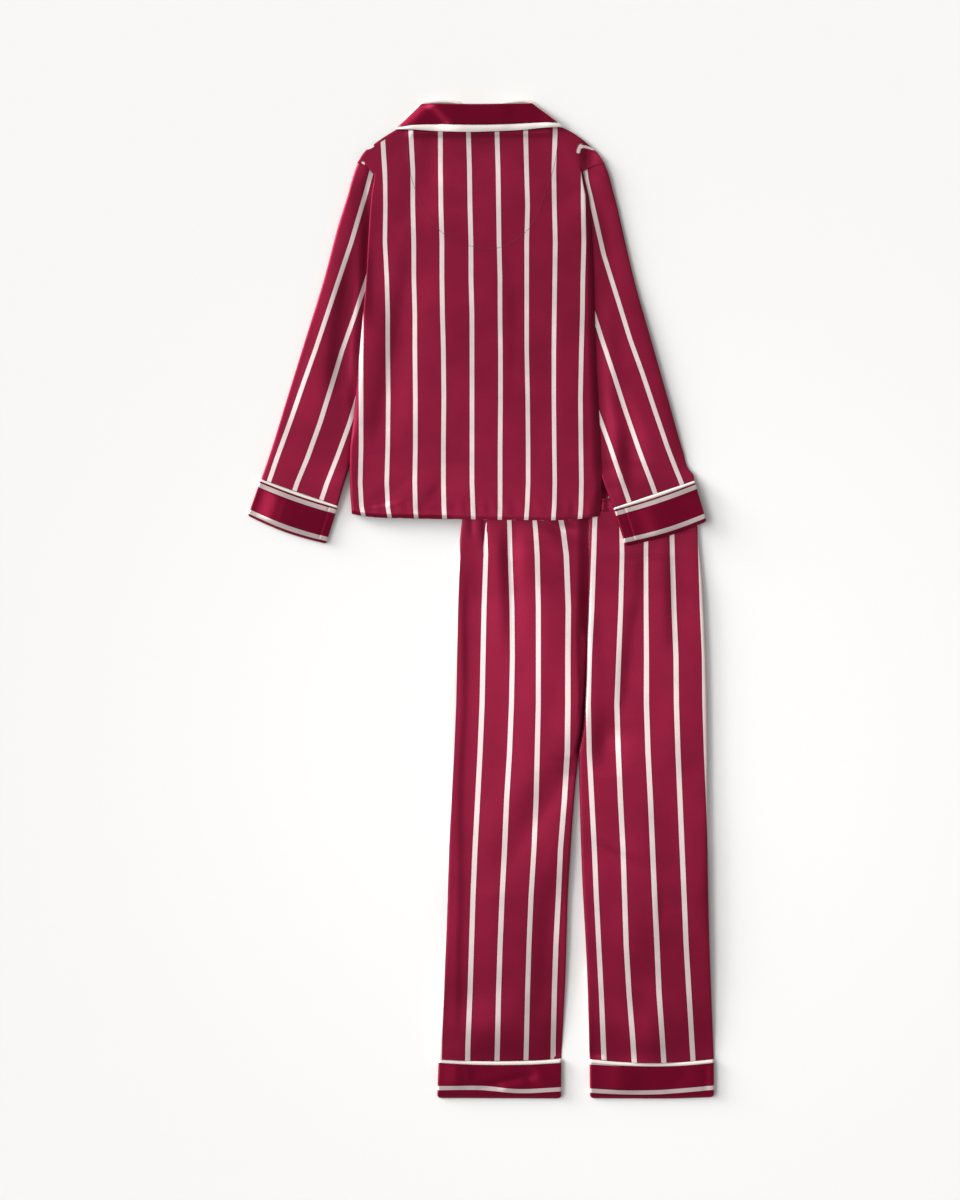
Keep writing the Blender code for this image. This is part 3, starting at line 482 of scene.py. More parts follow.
# Gathers of uneven width and depth, pinched by the stitching near both edges.
turns = 2.0 * np.pi * GATHERS * u
ruffle = np.cos(turns + 1.3 * np.sin(0.37 * turns)) * (0.8 + 0.2 * np.cos(0.21 * turns))
pinch = 0.35 * np.exp(-((v - 0.18) / 0.07) ** 2) + 0.35 * np.exp(-((v - 0.86) / 0.07) ** 2)
z = (WAIST_FULL - GATHER_DEPTH + GATHER_DEPTH * ruffle - pinch) * layer
casing = cloth_piece("waist_casing", x, y, z, x / GATHERED_PITCH, y, lengthwise, True)
place_piece(casing, "striped_satin", "waistband")

# ---------------------------------------------------------------- Trouser turn-ups
# Each leg ends in a deep band cut across the cloth, so one cream stripe runs round it near the edge.
# A narrow flat piping of plain cream satin is caught in the seam above the band.
BAND_FULL = 4.6
BAND_STEP = 2.6
BAND_BOTTOM_Y = -722.4
BAND_ROWS = np.concatenate([[0.0, 0.01, 0.025, 0.05, 0.08], np.linspace(0.12, 1.0, 17)])
BAND_CORNER = 5.0       # radius of its lower corners
END_CLOSED = 1.7        # height to which a band's open end is pressed
PIPING_WIDTH = 5.0
PIPING_INSET = 0.6      # how far it stops short of the band's sides
PIPING_ROWS = np.linspace(0.0, 1.0, 9)
TURN_UPS = (
    # side, left, right, top line, middle of the lower cream stripe, bottom edge's drop, folds
    ("left", -63.5, 116.3, LEG_LEFT_END, ((-63.5, -707.3), (-7, -706.9), (60, -711.6), (116.3, -708.9)),
        (0.0, -0.1, -0.4, -0.6),
        ((-1, -706, 76, -690, 6, -1.8), (-36, -706, -34, -674, 16, 1.8), (-18, -700, -20, -678, 5, 0.6),
            (30, -708, 66, -698, 8, 1.2), (84, -700, 92, -684, 16, 1.0))),
    ("right", 158.0, 337.8, LEG_RIGHT_END, ((158, -710.9), (205, -713.2), (250, -713.4), (337.8, -706.6)),
        (-0.3, -0.6, -0.6, 1.2),
        ((207, -712, 206, -674, 24, 2.2), (326, -712, 325, -676, 5, -0.8), (270, -712, 300, -680, 14, -1.0))),
)


def folds(x, y, table):
    """Sum of bells across the given straight lines, each faded in and out over its ends."""
    total = np.zeros_like(x)
    for x0, y0, x1, y1, half_width, height in table:
        share, distance = from_line(x, y, x0, y0, x1, y1)
        faded = height * ease(share, -0.2, 0.2) * ease(share, 1.2, 0.8)
        total += faded * np.exp(-(distance / half_width) ** 2)
    return total


def pressed_end(distance, full, reach=7.0):
    """Height of a tube near its open end: full inside, pressed down to the closed height at the end."""
    opened = 0.9 * ease(distance, 0.0, reach) + 0.1 * ease(distance, 0.0, 2.2 * reach)
    return END_CLOSED + (full - END_CLOSED) * np.sqrt(opened)


def corner_pull(distance, radius):
    """How far a rounded corner stands in from the side, at a distance from the end."""
    short = np.clip(radius - distance, 0.0, radius)
    return radius - np.sqrt(radius ** 2 - short ** 2)


def piping_height(full, v):
    """Height of piping in a seam: a little over the band's, and half a millimetre less at its edges."""
    return full + 0.3 - 0.5 * (2.0 * np.abs(v - 0.5)) ** 2.5


def plain_satin(name, colour):
    """Plain satin for piping: a fine grain of lighter and darker threads."""
    material = new_finish(name)
    place = finish_step(material, "TexCoord", out="Object")
    grain = finish_step(material, "TexNoise", {"Vector": place, "Scale": 900.0, "Detail": 2.0}, "Fac")
    dark, light = ((*(part * np.array(colour)), 1.0) for part in (0.9, 1.06))
    tone = finish_step(material, "Mix", {"Factor": grain, "A": dark, "B": light}, "Result", data_type="RGBA")
    relief = finish_step(material, "Bump", {"Strength": 0.3, "Distance": 0.00004, "Height": grain})
    feed_finish(material, "Principled BSDF", {
        "Base Color": tone, "Normal": relief, "Roughness": 0.5, "Metallic": 0.2, "Specular IOR Level": 0.2})
    return material


# The cross-cut pieces' ground is a darker, deeper burgundy than the lengthwise one: painted shade for floats
# that catch less light across the grain.
crosswise = satin("satin_crosswise", (0.206, 0.0014, 0.0240), CREAM, 3.1)
piping_satin = plain_satin("piping_satin", (0.78, 0.71, 0.66))

for side, left_x, right_x, top_line, stripe_line, drop, table in TURN_UPS:
    top_line, stripe_line = fine_line(top_line), fine_line(stripe_line)
    mid = np.linspace(left_x, right_x, 4)
    bottom_line = fine_line(np.stack([mid, BAND_BOTTOM_Y + np.array(drop)], axis=-1))
    band_top = top_line - (0.0, PIPING_WIDTH + 2.0 * SEAM)
    u, v, layer, _ = once_round(right_x - left_x, BAND_STEP, LEG_FOLD, BAND_ROWS)
    x, y = plan_above(bottom_line, band_top, u, v)
    from_end = v * (band_top[0, 1] - BAND_BOTTOM_Y)
    x = x + corner_pull(from_end, BAND_CORNER) * (1.0 - 2.0 * u)
    # Faint ripples above the stripe, and the band's own folds, both gone at the open end.
    wave = 0.06 * ease(y, -700.0, -670.0) * np.sin(x / 5.2 + 0.8 * np.sin(x / 17.0))
    z = pressed_end(from_end, BAND_FULL) + (folds(x, y, table) + wave) * ease(from_end, 0.0, 12.0)
    across = (y - np.interp(x, stripe_line[:, 0], stripe_line[:, 1])) / PITCH
    band = cloth_piece("turn_up_" + side, x, y, z * layer, across, x, crosswise, True)
    place_piece(band, "striped_satin", "hem_band_" + side)

    u, v, layer, _ = once_round(right_x - left_x, BAND_STEP, LEG_FOLD, PIPING_ROWS)
    x, y = plan_above(top_line - (0.0, PIPING_WIDTH + SEAM), top_line - (0.0, SEAM), u, v)
    x = x + (1.0 - 2.0 * u) * PIPING_INSET
    z = piping_height(BAND_FULL, v) * layer
    piping = cloth_piece("turn_up_piping_" + side, x, y, z, v, x, piping_satin, True)
    place_piece(piping, "cream_piping", "hem_piping_" + side)

# ---------------------------------------------------------------- Shirt fronts
# Two front panels lie face down, the left one over the right one along the buttons. They are lifted
# where they lie on the trousers, the tucked sleeves, the buttons and the folded-out collar.
BODY_LEFT = ((-187, 124), (-189.5, 163), (-189, 219.5), (-185, 256), (-181, 296.5), (-174.5, 370.5),
    (-166, 463.5), (-162.5, 528.5), (-158.5, 579.5), (-153.5, 614))
BODY_RIGHT = ((171, 120.5), (173.5, 137), (174.5, 173.5), (173.5, 222.5), (167.5, 334), (163.5, 463.5),
    (160.5, 528.5), (156, 585), (151.5, 604), (147.5, 620))
ARMHOLE_LEFT = ((-153.5, 614), (-169, 628), (-179, 632))
ARMHOLE_RIGHT = ((147.5, 620), (164, 628), (179, 631.5))
SHOULDER_LEFT = ((-179, 632), (-166.5, 650.5), (-158, 657), (-121.5, 681), (-111.5, 686))
SHOULDER_RIGHT = ((109, 686.5), (123.5, 681), (158, 657), (165.5, 650.5), (179, 631.5))
HEM = ((-187, 124), (-171, 121), (-101.5, 117.5), (-13, 116), (55, 115), (142, 116.5), (171, 120.5))
FRONT_RIGHT_EDGE = (
    # it comes out past the back at the corner where body, cuff and waist meet
    (170, 120.5), (171.5, 137), (173, 144), (184.5, 149.5), (180, 162), (175.5, 178), (172, 190),
    (169.5, 222.5), (160.5, 334), (156.5, 463.5), (152.5, 528.5), (149.5, 595), (147.5, 620),
)
CENTRE = -6.0
OVERLAP = 32.0          # width of the button stand
NECK_Y = 557.0
BUTTONED_Y = 552.0      # top of the buttoned stretch
TROUSER_RISE = 4.7
TUCK_RISE = 4.3
BUTTON_RISE = 2.3
COLLAR_RISE = 1.5
LAP_RISE = 1.8
CUFF_BELOW = 3.3        # height of the right sleeve's end under its front
FLOOR_GAP = 0.4         # lowest that a front's edge comes
FRONT_STRIPE = 12.0     # from the centre to a cream stripe of the fronts
BACK_NECK = 4.1         # height of the back at the neck
BACK_CROWN = 1.3        # how much higher its middle lies than its sides
SPAN_RISE = 4.6         # how much higher the back spans between the sleeves than at the neck
CAP_DIP = ((158, 640, 12, 14, -2.4),)     # x, y, reach across, reach along, height
# y and x of the edge of each sleeve under the body
TUCK_LEFT = ((137, -207), (186.5, -192.5), (246, -172.5), (318.5, -145), (391, -120), (459, -95.5),
    (514, -103), (572, -124.5), (614, -143))
TUCK_RIGHT = ((133, 191.5), (166, 178.5), (199.5, 168.5), (231.5, 158), (318.5, 133.5), (391, 109),
    (459, 85.5), (514, 94.5), (572, 117.5), (620, 139))


def over_trousers(x, y):
    """Lift of whatever lies on the trousers' waist: a soft step beside it times one above it."""
    waist_x = WAIST_LOW[0][0]
    return TROUSER_RISE * ease(x, waist_x - 28.0, waist_x - 6.0) * ease(y, WAIST_Y + 57.0, WAIST_Y + 12.0)


def over_sleeves(x, y):
    """1 where a sleeve lies under the body, going to 0 over 32 mm beside it and above the armhole."""
    left, right = (np.interp(y, *np.transpose(line)) for line in (TUCK_LEFT, TUCK_RIGHT))
    return ease(np.minimum(x - left, right - x), 32.0, 0.0) * ease(y, 655.0, 585.0)


def front_floor(x, y):
    """Underside of the fronts: lifts over trousers and sleeves, and the larger of buttons and collar."""
    buttoned = ease(y, 165.0, 195.0) * ease(y, NECK_Y + 25.0, NECK_Y - 5.0)
    on_buttons = BUTTON_RISE * ease(np.abs(x - CENTRE), 42.0, 16.0) * buttoned
    on_collar = COLLAR_RISE * ease(np.abs(x), 162.0, 142.0) * ease(y, 515.0, 545.0)
    return over_trousers(x, y) + TUCK_RISE * over_sleeves(x, y) + np.maximum(on_buttons, on_collar)


def back_lie(x, y):
    """Height of the back: slack cloth that spans from sleeve to sleeve, with a dip at the right cap."""
    crown = BACK_CROWN * (1.0 - ((x - CENTRE) / 180.0) ** 4)
    return BACK_NECK + (SPAN_RISE + crown) * ease(y, 700.0, 530.0) + hollows(x, y, CAP_DIP)


def left_over_right(x):
    """Lift of the left front where it lies on the right one."""
    return LAP_RISE * ease(x, CENTRE - 54.0, CENTRE - 22.0)


neck = (CENTRE, NECK_Y)
lap_left, lap_right = CENTRE - 0.5 * OVERLAP, CENTRE + 0.5 * OVERLAP
left_foot, left_end = (lap_right, 115.6), (lap_right, BUTTONED_Y)
right_foot, right_end = (lap_left, 116.1), (lap_left, BUTTONED_Y)
for side, edges, lift in (
        ("left", (joined(BODY_LEFT, ARMHOLE_LEFT), (left_foot, left_end),
                  joined(HEM[:4], (HEM[3], left_foot)),
                  joined(SHOULDER_LEFT, (SHOULDER_LEFT[-1], neck), (neck, left_end))), left_over_right),
        ("right", ((right_foot, right_end), joined(FRONT_RIGHT_EDGE, ARMHOLE_RIGHT),
                   joined((right_foot, HEM[3]), HEM[3:]),
                   joined((right_end, neck), (neck, SHOULDER_RIGHT[0]), SHOULDER_RIGHT)), lambda x: 0.0)):
    u, v = np.meshgrid(np.linspace(0.0, 1.0, 40), np.linspace(0.0, 1.0, 100))
    x, y = plan_between(*edges, u, v)
    z = front_floor(x, y) + lift(x)
    # Low down on the right the front lies on the cuff, and past the back's edge it drops to the floor.
    past = np.where(x > 100.0, x - beside(BODY_RIGHT, y), -20.0)
    on_cuff = over_trousers(x, y) + CUFF_BELOW * ease(y, 150.0, 190.0)
    z = z + ease(past, -16.0, -8.0) * ease(y, 240.0, 200.0) * (on_cuff - z)
    z = z + ease(past, 0.0, 4.0) * (FLOOR_GAP - z) + CLOTH
    front = cloth_piece("front_" + side, x, y, z, (x - CENTRE - FRONT_STRIPE) / PITCH, y, shirt_satin)
    place_piece(front, "striped_satin", "shirt_front_" + side)

# ---------------------------------------------------------------- Collar points and lapels
# The revere collar's points and the lapels are folded out on the fronts, so they lie next to the floor.
# They are cut across the cloth, faced, and edged with the cream piping.
POINTS = (
    # side, left edge, right edge, bottom, top
    ("left", ((-128, 655), (-117.5, 682), (-82.5, 720)), ((-62, 640), (-27.5, 718.5)),
        ((-128, 655), (-100, 633), (-62, 640)), ((-82.5, 720), (-59.5, 722.6), (-42, 721.8), (-27.5, 718.5))),
    ("right", ((50, 640), (27.5, 718.5)), ((118, 655), (112, 686.5), (75.5, 720)),
        ((50, 640), (90, 633), (118, 655)), ((27.5, 718.5), (45, 721.5), (69.5, 722), (75.5, 720))),
)


def edging(name, line, width=4.6, height=1.3):
    """Flat cord along a line in the plan: an oval section square to the line, closed at its ends."""
    line = np.asarray(line, dtype=float)
    way = np.gradient(line, axis=0)
    way /= np.linalg.norm(way, axis=1)[:, None]
    size = np.concatenate([[0.0], np.ones(len(line) - 2), [0.0]])[:, None]
    turn = np.linspace(0.0, 2.0 * np.pi, 13)[None]
    out = 0.5 * width * np.cos(turn) * size
    z = 0.5 * height * (1.0 + np.sin(turn) * size)
    along = np.arange(len(line))[:, None] + 0.0 * turn
    return cloth_piece(name, line[:, :1] + way[:, 1:] * out, line[:, 1:] - way[:, :1] * out, z, 0.0 * along,
                       along, piping_satin, True, True, wall=0.25)


def crosscut(y, middle):
    """Stripe count of a piece cut across the cloth, with a burgundy stretch round the middle."""
    return (y - middle) / PITCH + 0.5


def faced_piece(name, node, x, y, z, middle, trim):
    """Piece cut across the cloth, burgundy round its middle height, with the trim as its edging."""
    piece = cloth_piece(name, x, y, z, crosscut(y, middle), x, crosswise)
    rim = edging(*trim)
    place_piece(piece, "striped_satin", node)
    place_piece(rim, "cream_piping")


for side, left, right, bottom, top in POINTS:
    u, v = np.meshgrid(np.linspace(0.0, 1.0, 32), np.linspace(0.0, 1.0, 36))
    x, y = plan_between(fine_line(left), fine_line(right), fine_line(bottom), fine_line(top), u, v)
    z = CLOTH + 0.12 * np.sin(x / 9.0) * np.sin(y / 11.0) ** 2
    rim = joined(bottom[::-1], left, top) if side == "left" else joined(bottom, right, top[::-1])
    faced_piece("point_" + side, "collar_point_" + side, x, y, z, 700.0,
                ("point_piping_" + side, rim[::3]))

for side, sign in (("left", -1.0), ("right", 1.0)):
    tip, inner, foot, neck_end = ((CENTRE + sign * off, at_y) for off, at_y in (
        (94.0, 628.0), (56.0, 636.0), (10.0, 553.0), (3.0, 556.0)))
    high, low = ((tip, inner), (foot, neck_end)) if sign < 0 else ((inner, tip), (neck_end, foot))
    u, v = np.meshgrid(np.linspace(0.0, 1.0, 16), np.linspace(0.0, 1.0, 30))
    x, y = plan_above(low, high, u, v)
    z = CLOTH + 0.1 * np.sin(x / 8.0 + y / 13.0)
    trim = ("lapel_piping_" + side, fine_line((foot, tip, inner), 14), 3.2, 1.2)
    faced_piece("lapel_flap_" + side, "lapel_" + side, x, y, z, 600.0, trim)

# ---------------------------------------------------------------- Buttons
# Four small pearl buttons sewn to the front edge, turned from a disc with a raised rim and a dished
# middle.
BUTTON_Y = (530.0, 425.0, 320.0, 215.0)
BUTTON_PROFILE = (
    # radius, height, from the middle of the underside round the rim to the middle of the upper side
    (0, 0.25), (2.6, 0.2), (4.6, 0), (5.35, 0.25), (5.72, 0.8), (5.72, 1.2), (5.35, 1.75), (4.9, 1.95),
    (4.3, 1.85), (3.8, 1.5), (2.2, 1.35), (0, 1.35),
)


def two_tone(material, factor, low, high):
    """Colour that goes evenly from the low one to the high one with the factor."""
    colour = finish_step(material, "ValToRGB", (factor,))
    for element, tint in zip(colour.node.color_ramp.elements, (low, high)):
        element.color = (*tint, 1.0)
    return colour


def tube_faces(rings, sides):
    """Four-sided faces between rings of points, each ring joined round to its start."""
    ring, side = np.meshgrid(np.arange(rings - 1), np.arange(sides), indexing="ij")
    after = (side + 1) % sides
    return np.stack([ring * sides + side, ring * sides + after, (ring + 1) * sides + after,
                     (ring + 1) * sides + side], axis=-1).reshape(-1, 4)


def plain_piece(name, points, faces, material):
    """Mesh from whole arrays of points in millimetres and of faces, shaded smooth."""
    mesh = bpy.data.meshes.new(name)
    mesh.from_pydata((np.asarray(points) * MM).tolist(), [], [list(face) for face in faces])
    mesh.shade_smooth()
    mesh.materials.append(material)
    return put_in_scene(name, mesh)


def turned_disc(profile, centre_y, sides=32):
    """Profile turned about an upright line: each ring is the profile's radius round the centre."""
    profile = np.array(profile)
    angle = np.arange(sides) * 2.0 * np.pi / sides
    ring = profile[1:-1]
    points = np.stack([CENTRE + ring[:, :1] * np.cos(angle), centre_y + ring[:, :1] * np.sin(angle),
                       ring[:, 1:] + 0.0 * angle], axis=-1).reshape(-1, 3)
    low, high = len(points), len(points) + 1
    points = np.concatenate([points, [[CENTRE, centre_y, profile[0, 1]], [CENTRE, centre_y, profile[-1, 1]]]])
    start, last = np.arange(sides), (len(ring) - 1) * sides + np.arange(sides)
    fans = [(low, b, a) for a, b in zip(start, np.roll(start, -1))]
    fans += [(high, a, b) for a, b in zip(last, np.roll(last, -1))]
    return points, tube_faces(len(ring), sides).tolist() + fans


pearl = new_finish("button_pearl")
place = finish_step(pearl, "TexCoord", out="Object")
layers = finish_step(pearl, "TexNoise", {"Vector": place, "Scale": 260.0, "Distortion": 2.5}, "Fac")
nacre = two_tone(pearl, layers, (0.50, 0.42, 0.38), (0.82, 0.76, 0.74))
feed_finish(pearl, "Principled BSDF", {"Base Color": nacre, "Roughness": 0.24, "Coat Weight": 0.4})

for number, centre_y in enumerate(BUTTON_Y, start=1):
    button = plain_piece("pearl_button_%d" % number, *turned_disc(BUTTON_PROFILE, centre_y), pearl)
    place_piece(button, "button", "button_%d" % number)

# ---------------------------------------------------------------- Sleeves
# Long sleeves of the same cloth, each a tube with its seam on the inner side. They hang from the
# armhole down and outwards, run under the body, and the right one ends on the trousers' hip.
SLEEVE_WIDTH = 117.0
SLEEVE_STEP = 2.6
SLEEVE_ROWS = np.linspace(0.0, 1.0, 170)
SLEEVE_FLAT = 3.4       # height under the body
SLEEVE_FULL = 4.9       # height beside it
SLEEVE_LEAST = 1.3
SLEEVE_FOLD = 1.7
SLEEVE_LEFT_OUTER = ((-318.3, 174.3), (-308.5, 202.5), (-281.5, 289.5), (-254.5, 376.5), (-227.5, 463.5),
    (-204.5, 549), (-194, 582), (-179.5, 629), (-176.5, 635.5))
SLEEVE_LEFT_INNER = ((-207.5, 135.7), (-192.5, 186.5), (-172.5, 246), (-145, 318.5), (-120, 391),
    (-95.5, 459))
SLEEVE_LEFT_HEAD = ((-176.5, 635.5), (-164.5, 632.5), (-149.3, 618), (-121.5, 572), (-103, 514), (-95.5, 459))
SLEEVE_RIGHT_OUTER = ((308.7, 172.2), (307.8, 180), (301, 188.5), (293, 214), (269, 298), (245, 382),
    (222, 463.5), (208, 523), (192.5, 588.5), (179.8, 629), (176.5, 635))
SLEEVE_RIGHT_INNER = ((191.7, 132.9), (178.5, 166), (168.5, 199.5), (158, 231.5), (133.5, 318.5),
    (109, 391), (85.5, 459))
SLEEVE_RIGHT_HEAD = ((85.5, 459), (94.5, 514), (115, 572), (143.5, 624), (160, 632.5), (176.5, 635))
# Stripes, folds and hollows are laid out as those of the legs.
SLEEVE_LEFT_STRIPES = (
    (621.3, (-157.9, -117.3, -76.7)), (586.5, (-167.3, -127.5, -86.9)), (516.9, (-187.6, -147.8, -107.2)),
    (464.7, (-205, -165.2, -124.6)), (412.5, (-222.4, -182.6, -141.2)), (360.3, (-239.8, -201.4, -159.4)),
    (308.1, (-258.7, -216.6, -173.9)), (255.9, (-276.8, -232.6, -189.8)), (203.7, (-295.7, -251.4, -208.7)),
    (168.9, (-307.3, -265.9, -222.4)), (115.3, (-326.1, -284.1, -240.6)),
)
SLEEVE_RIGHT_STRIPES = (
    (621.3, (69.9, 110.5, 151.1)), (608, (71.5, 112.1, 152.7)), (598, (73.7, 114.3, 154.9)),
    (586.5, (76, 116.6, 158)), (557.5, (81.8, 122.2, 164.6)), (499.5, (97.3, 137.2, 177.8)),
    (429.9, (117.6, 158.2, 199.5)), (377.7, (133.5, 174.9, 215.5)), (325.5, (150.9, 192.3, 234.3)),
    (273.3, (168.3, 208.9, 251.7)), (221.1, (187.2, 227.1, 269.8)), (168.9, (204.6, 246.6, 290.1)),
    (115.3, (223.4, 265.5, 309)),
)
SLEEVE_LEFT_FOLDS = (
    (9, 32, ((-178, 608, 0), (-173, 558, -0.9), (-182, 507, -0.5), (-195, 449, -2.4), (-206, 391, -1.2),
        (-210, 333, -1.5), (-218, 282, 0))),
    (6, 9, ((-165, 626, 0), (-163.5, 604, -2.6), (-163.5, 575, -2.2), (-167, 540, -0.6), (-170, 520, 0))),
    (14, 32, ((-180, 463, 0), (-195, 391, -2.3), (-202, 333, -1.9), (-201, 289, 0))),
    (10, 11, ((-212, 579, 0), (-220, 492, -0.4), (-241, 405, -0.6), (-266, 318, -0.6), (-292, 231, 0))),
    (8, 10, ((-189, 289, 0), (-193, 246, 0.2), (-206, 188, 0.2), (-220, 144, 0))),
    (32, 23, ((-254, 260, 0), (-282, 217, -0.2), (-291, 166, 0))),
)
SLEEVE_LEFT_HOLLOWS = (
    (-197, 181, 29, 34, 2.7), (-277, 281, 44, 62, -1.5),
)
SLEEVE_RIGHT_FOLDS = (
    (12, 12, ((173, 405, 0), (181, 355, 0.8), (185, 297, 1), (189, 239, 0.6), (203, 176, 0.9),
        (199, 137, 0))),
    (15, 19, ((181, 434, 0), (197, 369, -0.3), (191, 318, -0.8), (213, 260, -1.5), (216, 202, -2.5),
        (224, 144, 0))),
    (14, 17, ((189, 536, 0), (194, 463, -0.7), (208, 376, 0.1), (223, 304, -0.1), (243, 231, 0.7),
        (265, 173, 0))),
    (25, 17, ((207, 478, 0), (233, 391, 1.3), (256, 304, 1.3), (273, 231, 1.6), (281, 173, 0))),
    (4, 18, ((159, 594, 0), (172, 536, -1.9), (173, 478, -1.8), (176, 420, 0))),
)
SLEEVE_RIGHT_HOLLOWS = (
    (260, 158, 80, 80, -3), (216, 246, 36, 80, 1.9),
)

for side, left, right, head, stripes, table, low_places in (
        ("left", SLEEVE_LEFT_OUTER, SLEEVE_LEFT_INNER, SLEEVE_LEFT_HEAD, SLEEVE_LEFT_STRIPES,
         SLEEVE_LEFT_FOLDS, SLEEVE_LEFT_HOLLOWS),
        ("right", SLEEVE_RIGHT_INNER, SLEEVE_RIGHT_OUTER, SLEEVE_RIGHT_HEAD, SLEEVE_RIGHT_STRIPES,
         SLEEVE_RIGHT_FOLDS, SLEEVE_RIGHT_HOLLOWS)):
    seam_right = side == "left"
    u, v, layer, far = once_round(SLEEVE_WIDTH, SLEEVE_STEP, SLEEVE_FOLD, SLEEVE_ROWS, seam_right)
    x, y = plan_between(fine_line(left), fine_line(right), (left[0], right[0]), fine_line(head), u, v)
    outside = np.maximum(beside(fine_line(BODY_LEFT), y) - x, x - beside(fine_line(BODY_RIGHT), y))
    if side == "left":
        # It fills out nearer the body low down, and sinks in a valley beside the body's upper half.
        free = ease(outside + 12.0 * ease(y, 310.0, 250.0), 2.0, 16.0)
        crown = 1.8 * np.sin(np.pi * u ** 0.7) * ease(outside, -4.0, 56.0)
        valley = 2.1 * ease(outside, 12.0, 0.0) * ease(y, 320.0, 380.0) * ease(y, 598.0, 548.0)
    else:
        free = ease(outside, 3.0, 32.0)
        crown = 0.9 * np.sin(np.pi * u) * ease(outside, -4.0, 26.0) - 0.7 * free
        valley = 0.0
    lie = long_folds(x, y, table) + hollows(x, y, low_places)
    height = SLEEVE_FLAT + crown + free * (SLEEVE_FULL - SLEEVE_FLAT + lie)
    height = np.maximum(height - valley, SLEEVE_LEAST)
    at_cap = free * ease(y, 588.0, 617.0)
    height = height + at_cap * (back_lie(x, y) - 1.2 - height)
    z = over_trousers(x, y) + height * layer
    across = count_round(x, y, stripes, far)
    sleeve = cloth_piece("arm_" + side, x, y, z, across, y, shirt_satin, True, seam_right)
    place_piece(sleeve, "striped_satin", "sleeve_" + side)

# ---------------------------------------------------------------- Cuffs
# Straight folded bands cut across the cloth, so two cream stripes run round each. A seam joins the
# band's ends near the fold, and narrow cream piping is let in between band and sleeve.
CUFF_FULL = 5.2
CUFF_STEP = 1.5
CUFF_PIPING = 3.2
CUFF_CORNER = 3.0       # radius of its lower corners
CUFF_BOW = 3.8          # how far a cuff's edges bow towards the hand
CUFF_STRIPE = 5.4       # from the piping to the middle of the upper stripe
SEAM_SHIFT = 0.35       # how far the stripes miss each other at the closing seam
CUFFS = (
    # side, low left, low right, high left, high right, share of the closing seam
    ("left", (-337.8, 121), (-224.5, 80.5), (-319, 174.5), (-207, 135.5), 0.90),
    ("right", (209, 77.5), (326.5, 112.5), (191.5, 132.5), (309, 172), 0.12),
)


def cuff_line(corners, depth_share, bow_share):
    """Line across the cuff at a share of its depth, bowed towards the hand by a share of the bow."""
    low_left, low_right, high_left, high_right = corners
    start = low_left + depth_share * (high_left - low_left)
    end = low_right + depth_share * (high_right - low_right)
    way = (low_right - low_left) / np.linalg.norm(low_right - low_left)
    t = np.linspace(0.0, 1.0, 9)[:, None]
    return start + t * (end - start) + bow_share * CUFF_BOW * np.sin(np.pi * t) * np.array((way[1], -way[0]))


for side, *corners, seam_at in CUFFS:
    corners = np.array(corners, dtype=float)
    depth = np.linalg.norm(corners[2] - corners[0])
    width = np.linalg.norm(corners[1] - corners[0])
    way = (corners[1] - corners[0]) / width
    band_depth = depth - CUFF_PIPING - SEAM

    u, v, layer, _ = once_round(width, CUFF_STEP, SLEEVE_FOLD, BAND_ROWS)
    x, y = plan_above(cuff_line(corners, 0.0, 1.0), cuff_line(corners, band_depth / depth, 0.5), u, v)
    from_end = v * band_depth
    pull = corner_pull(from_end, CUFF_CORNER) * (1.0 - 2.0 * u)
    x, y = x + pull * way[0], y + pull * way[1]
    groove = 0.5 * np.exp(-((u - seam_at) * width / 0.9) ** 2)
    # The left cuff swells a third of the way across, and the right one sinks towards its far end.
    if side == "left":
        shape = 2.9 * ease(u, 0.0, 0.38) - 2.6 * ease(u, 0.34, 0.0)
        shape -= 4.2 * np.clip((u - 0.38) / 0.62, 0.0, 1.0) ** 1.2
    else:
        shape = 1.6 * ease(u, 0.2, 0.45) - 2.5 * ease(u, 0.47, 0.87)
    at_seam = depth - CUFF_PIPING
    shape = (shape * ease(from_end, at_seam, at_seam - 14.0) - groove) * ease(from_end, 0.0, 10.0)
    z = over_trousers(x, y) + (pressed_end(from_end, CUFF_FULL) + shape) * layer
    across = (CUFF_STRIPE - band_depth * (1.0 - v) - SEAM_SHIFT * (u > seam_at)) / PITCH
    band = cloth_piece("cuff_band_" + side, x, y, z, across, u * width, crosswise, True)
    place_piece(band, "striped_satin", "cuff_" + side)

    u, v, layer, _ = once_round(width, CUFF_STEP, SLEEVE_FOLD, PIPING_ROWS)
    low, high = cuff_line(corners, at_seam / depth, 0.5), cuff_line(corners, (depth - SEAM) / depth, 0.0)
    x, y = plan_above(low, high, u, v)
    z = over_trousers(x, y) + piping_height(CUFF_FULL, v) * layer
    piping = cloth_piece("wrist_piping_" + side, x, y, z, v, u * width, piping_satin, True)
    place_piece(piping, "cream_piping", "cuff_piping_" + side)

# ---------------------------------------------------------------- Shirt back
# One wide panel with its side edges rolled down to the fronts. A half-moon facing is sewn inside below the
# collar, and its row of stitches shows as a fine curved line, their thread darkened as painted seam shade.
NECKLINE = ((-111.5, 686), (-81, 695.5), (-8.5, 699), (72.5, 696.5), (109, 686.5))
BACK_WIDTH = 358.0
BACK_LENGTH = 583.0
BACK_STEP = 2.3
BACK_ROWS = np.concatenate([np.linspace(0.0, 1.0, 236)[:-1], 1.0 - 0.005 * np.array([0.6, 0.35, 0.15, 0.0])])
BACK_ROLL = 3.0         # reach of the roll at the panel's edges
ROLL_RIGHT = 15.0       # reach of the softer slant at its right edge
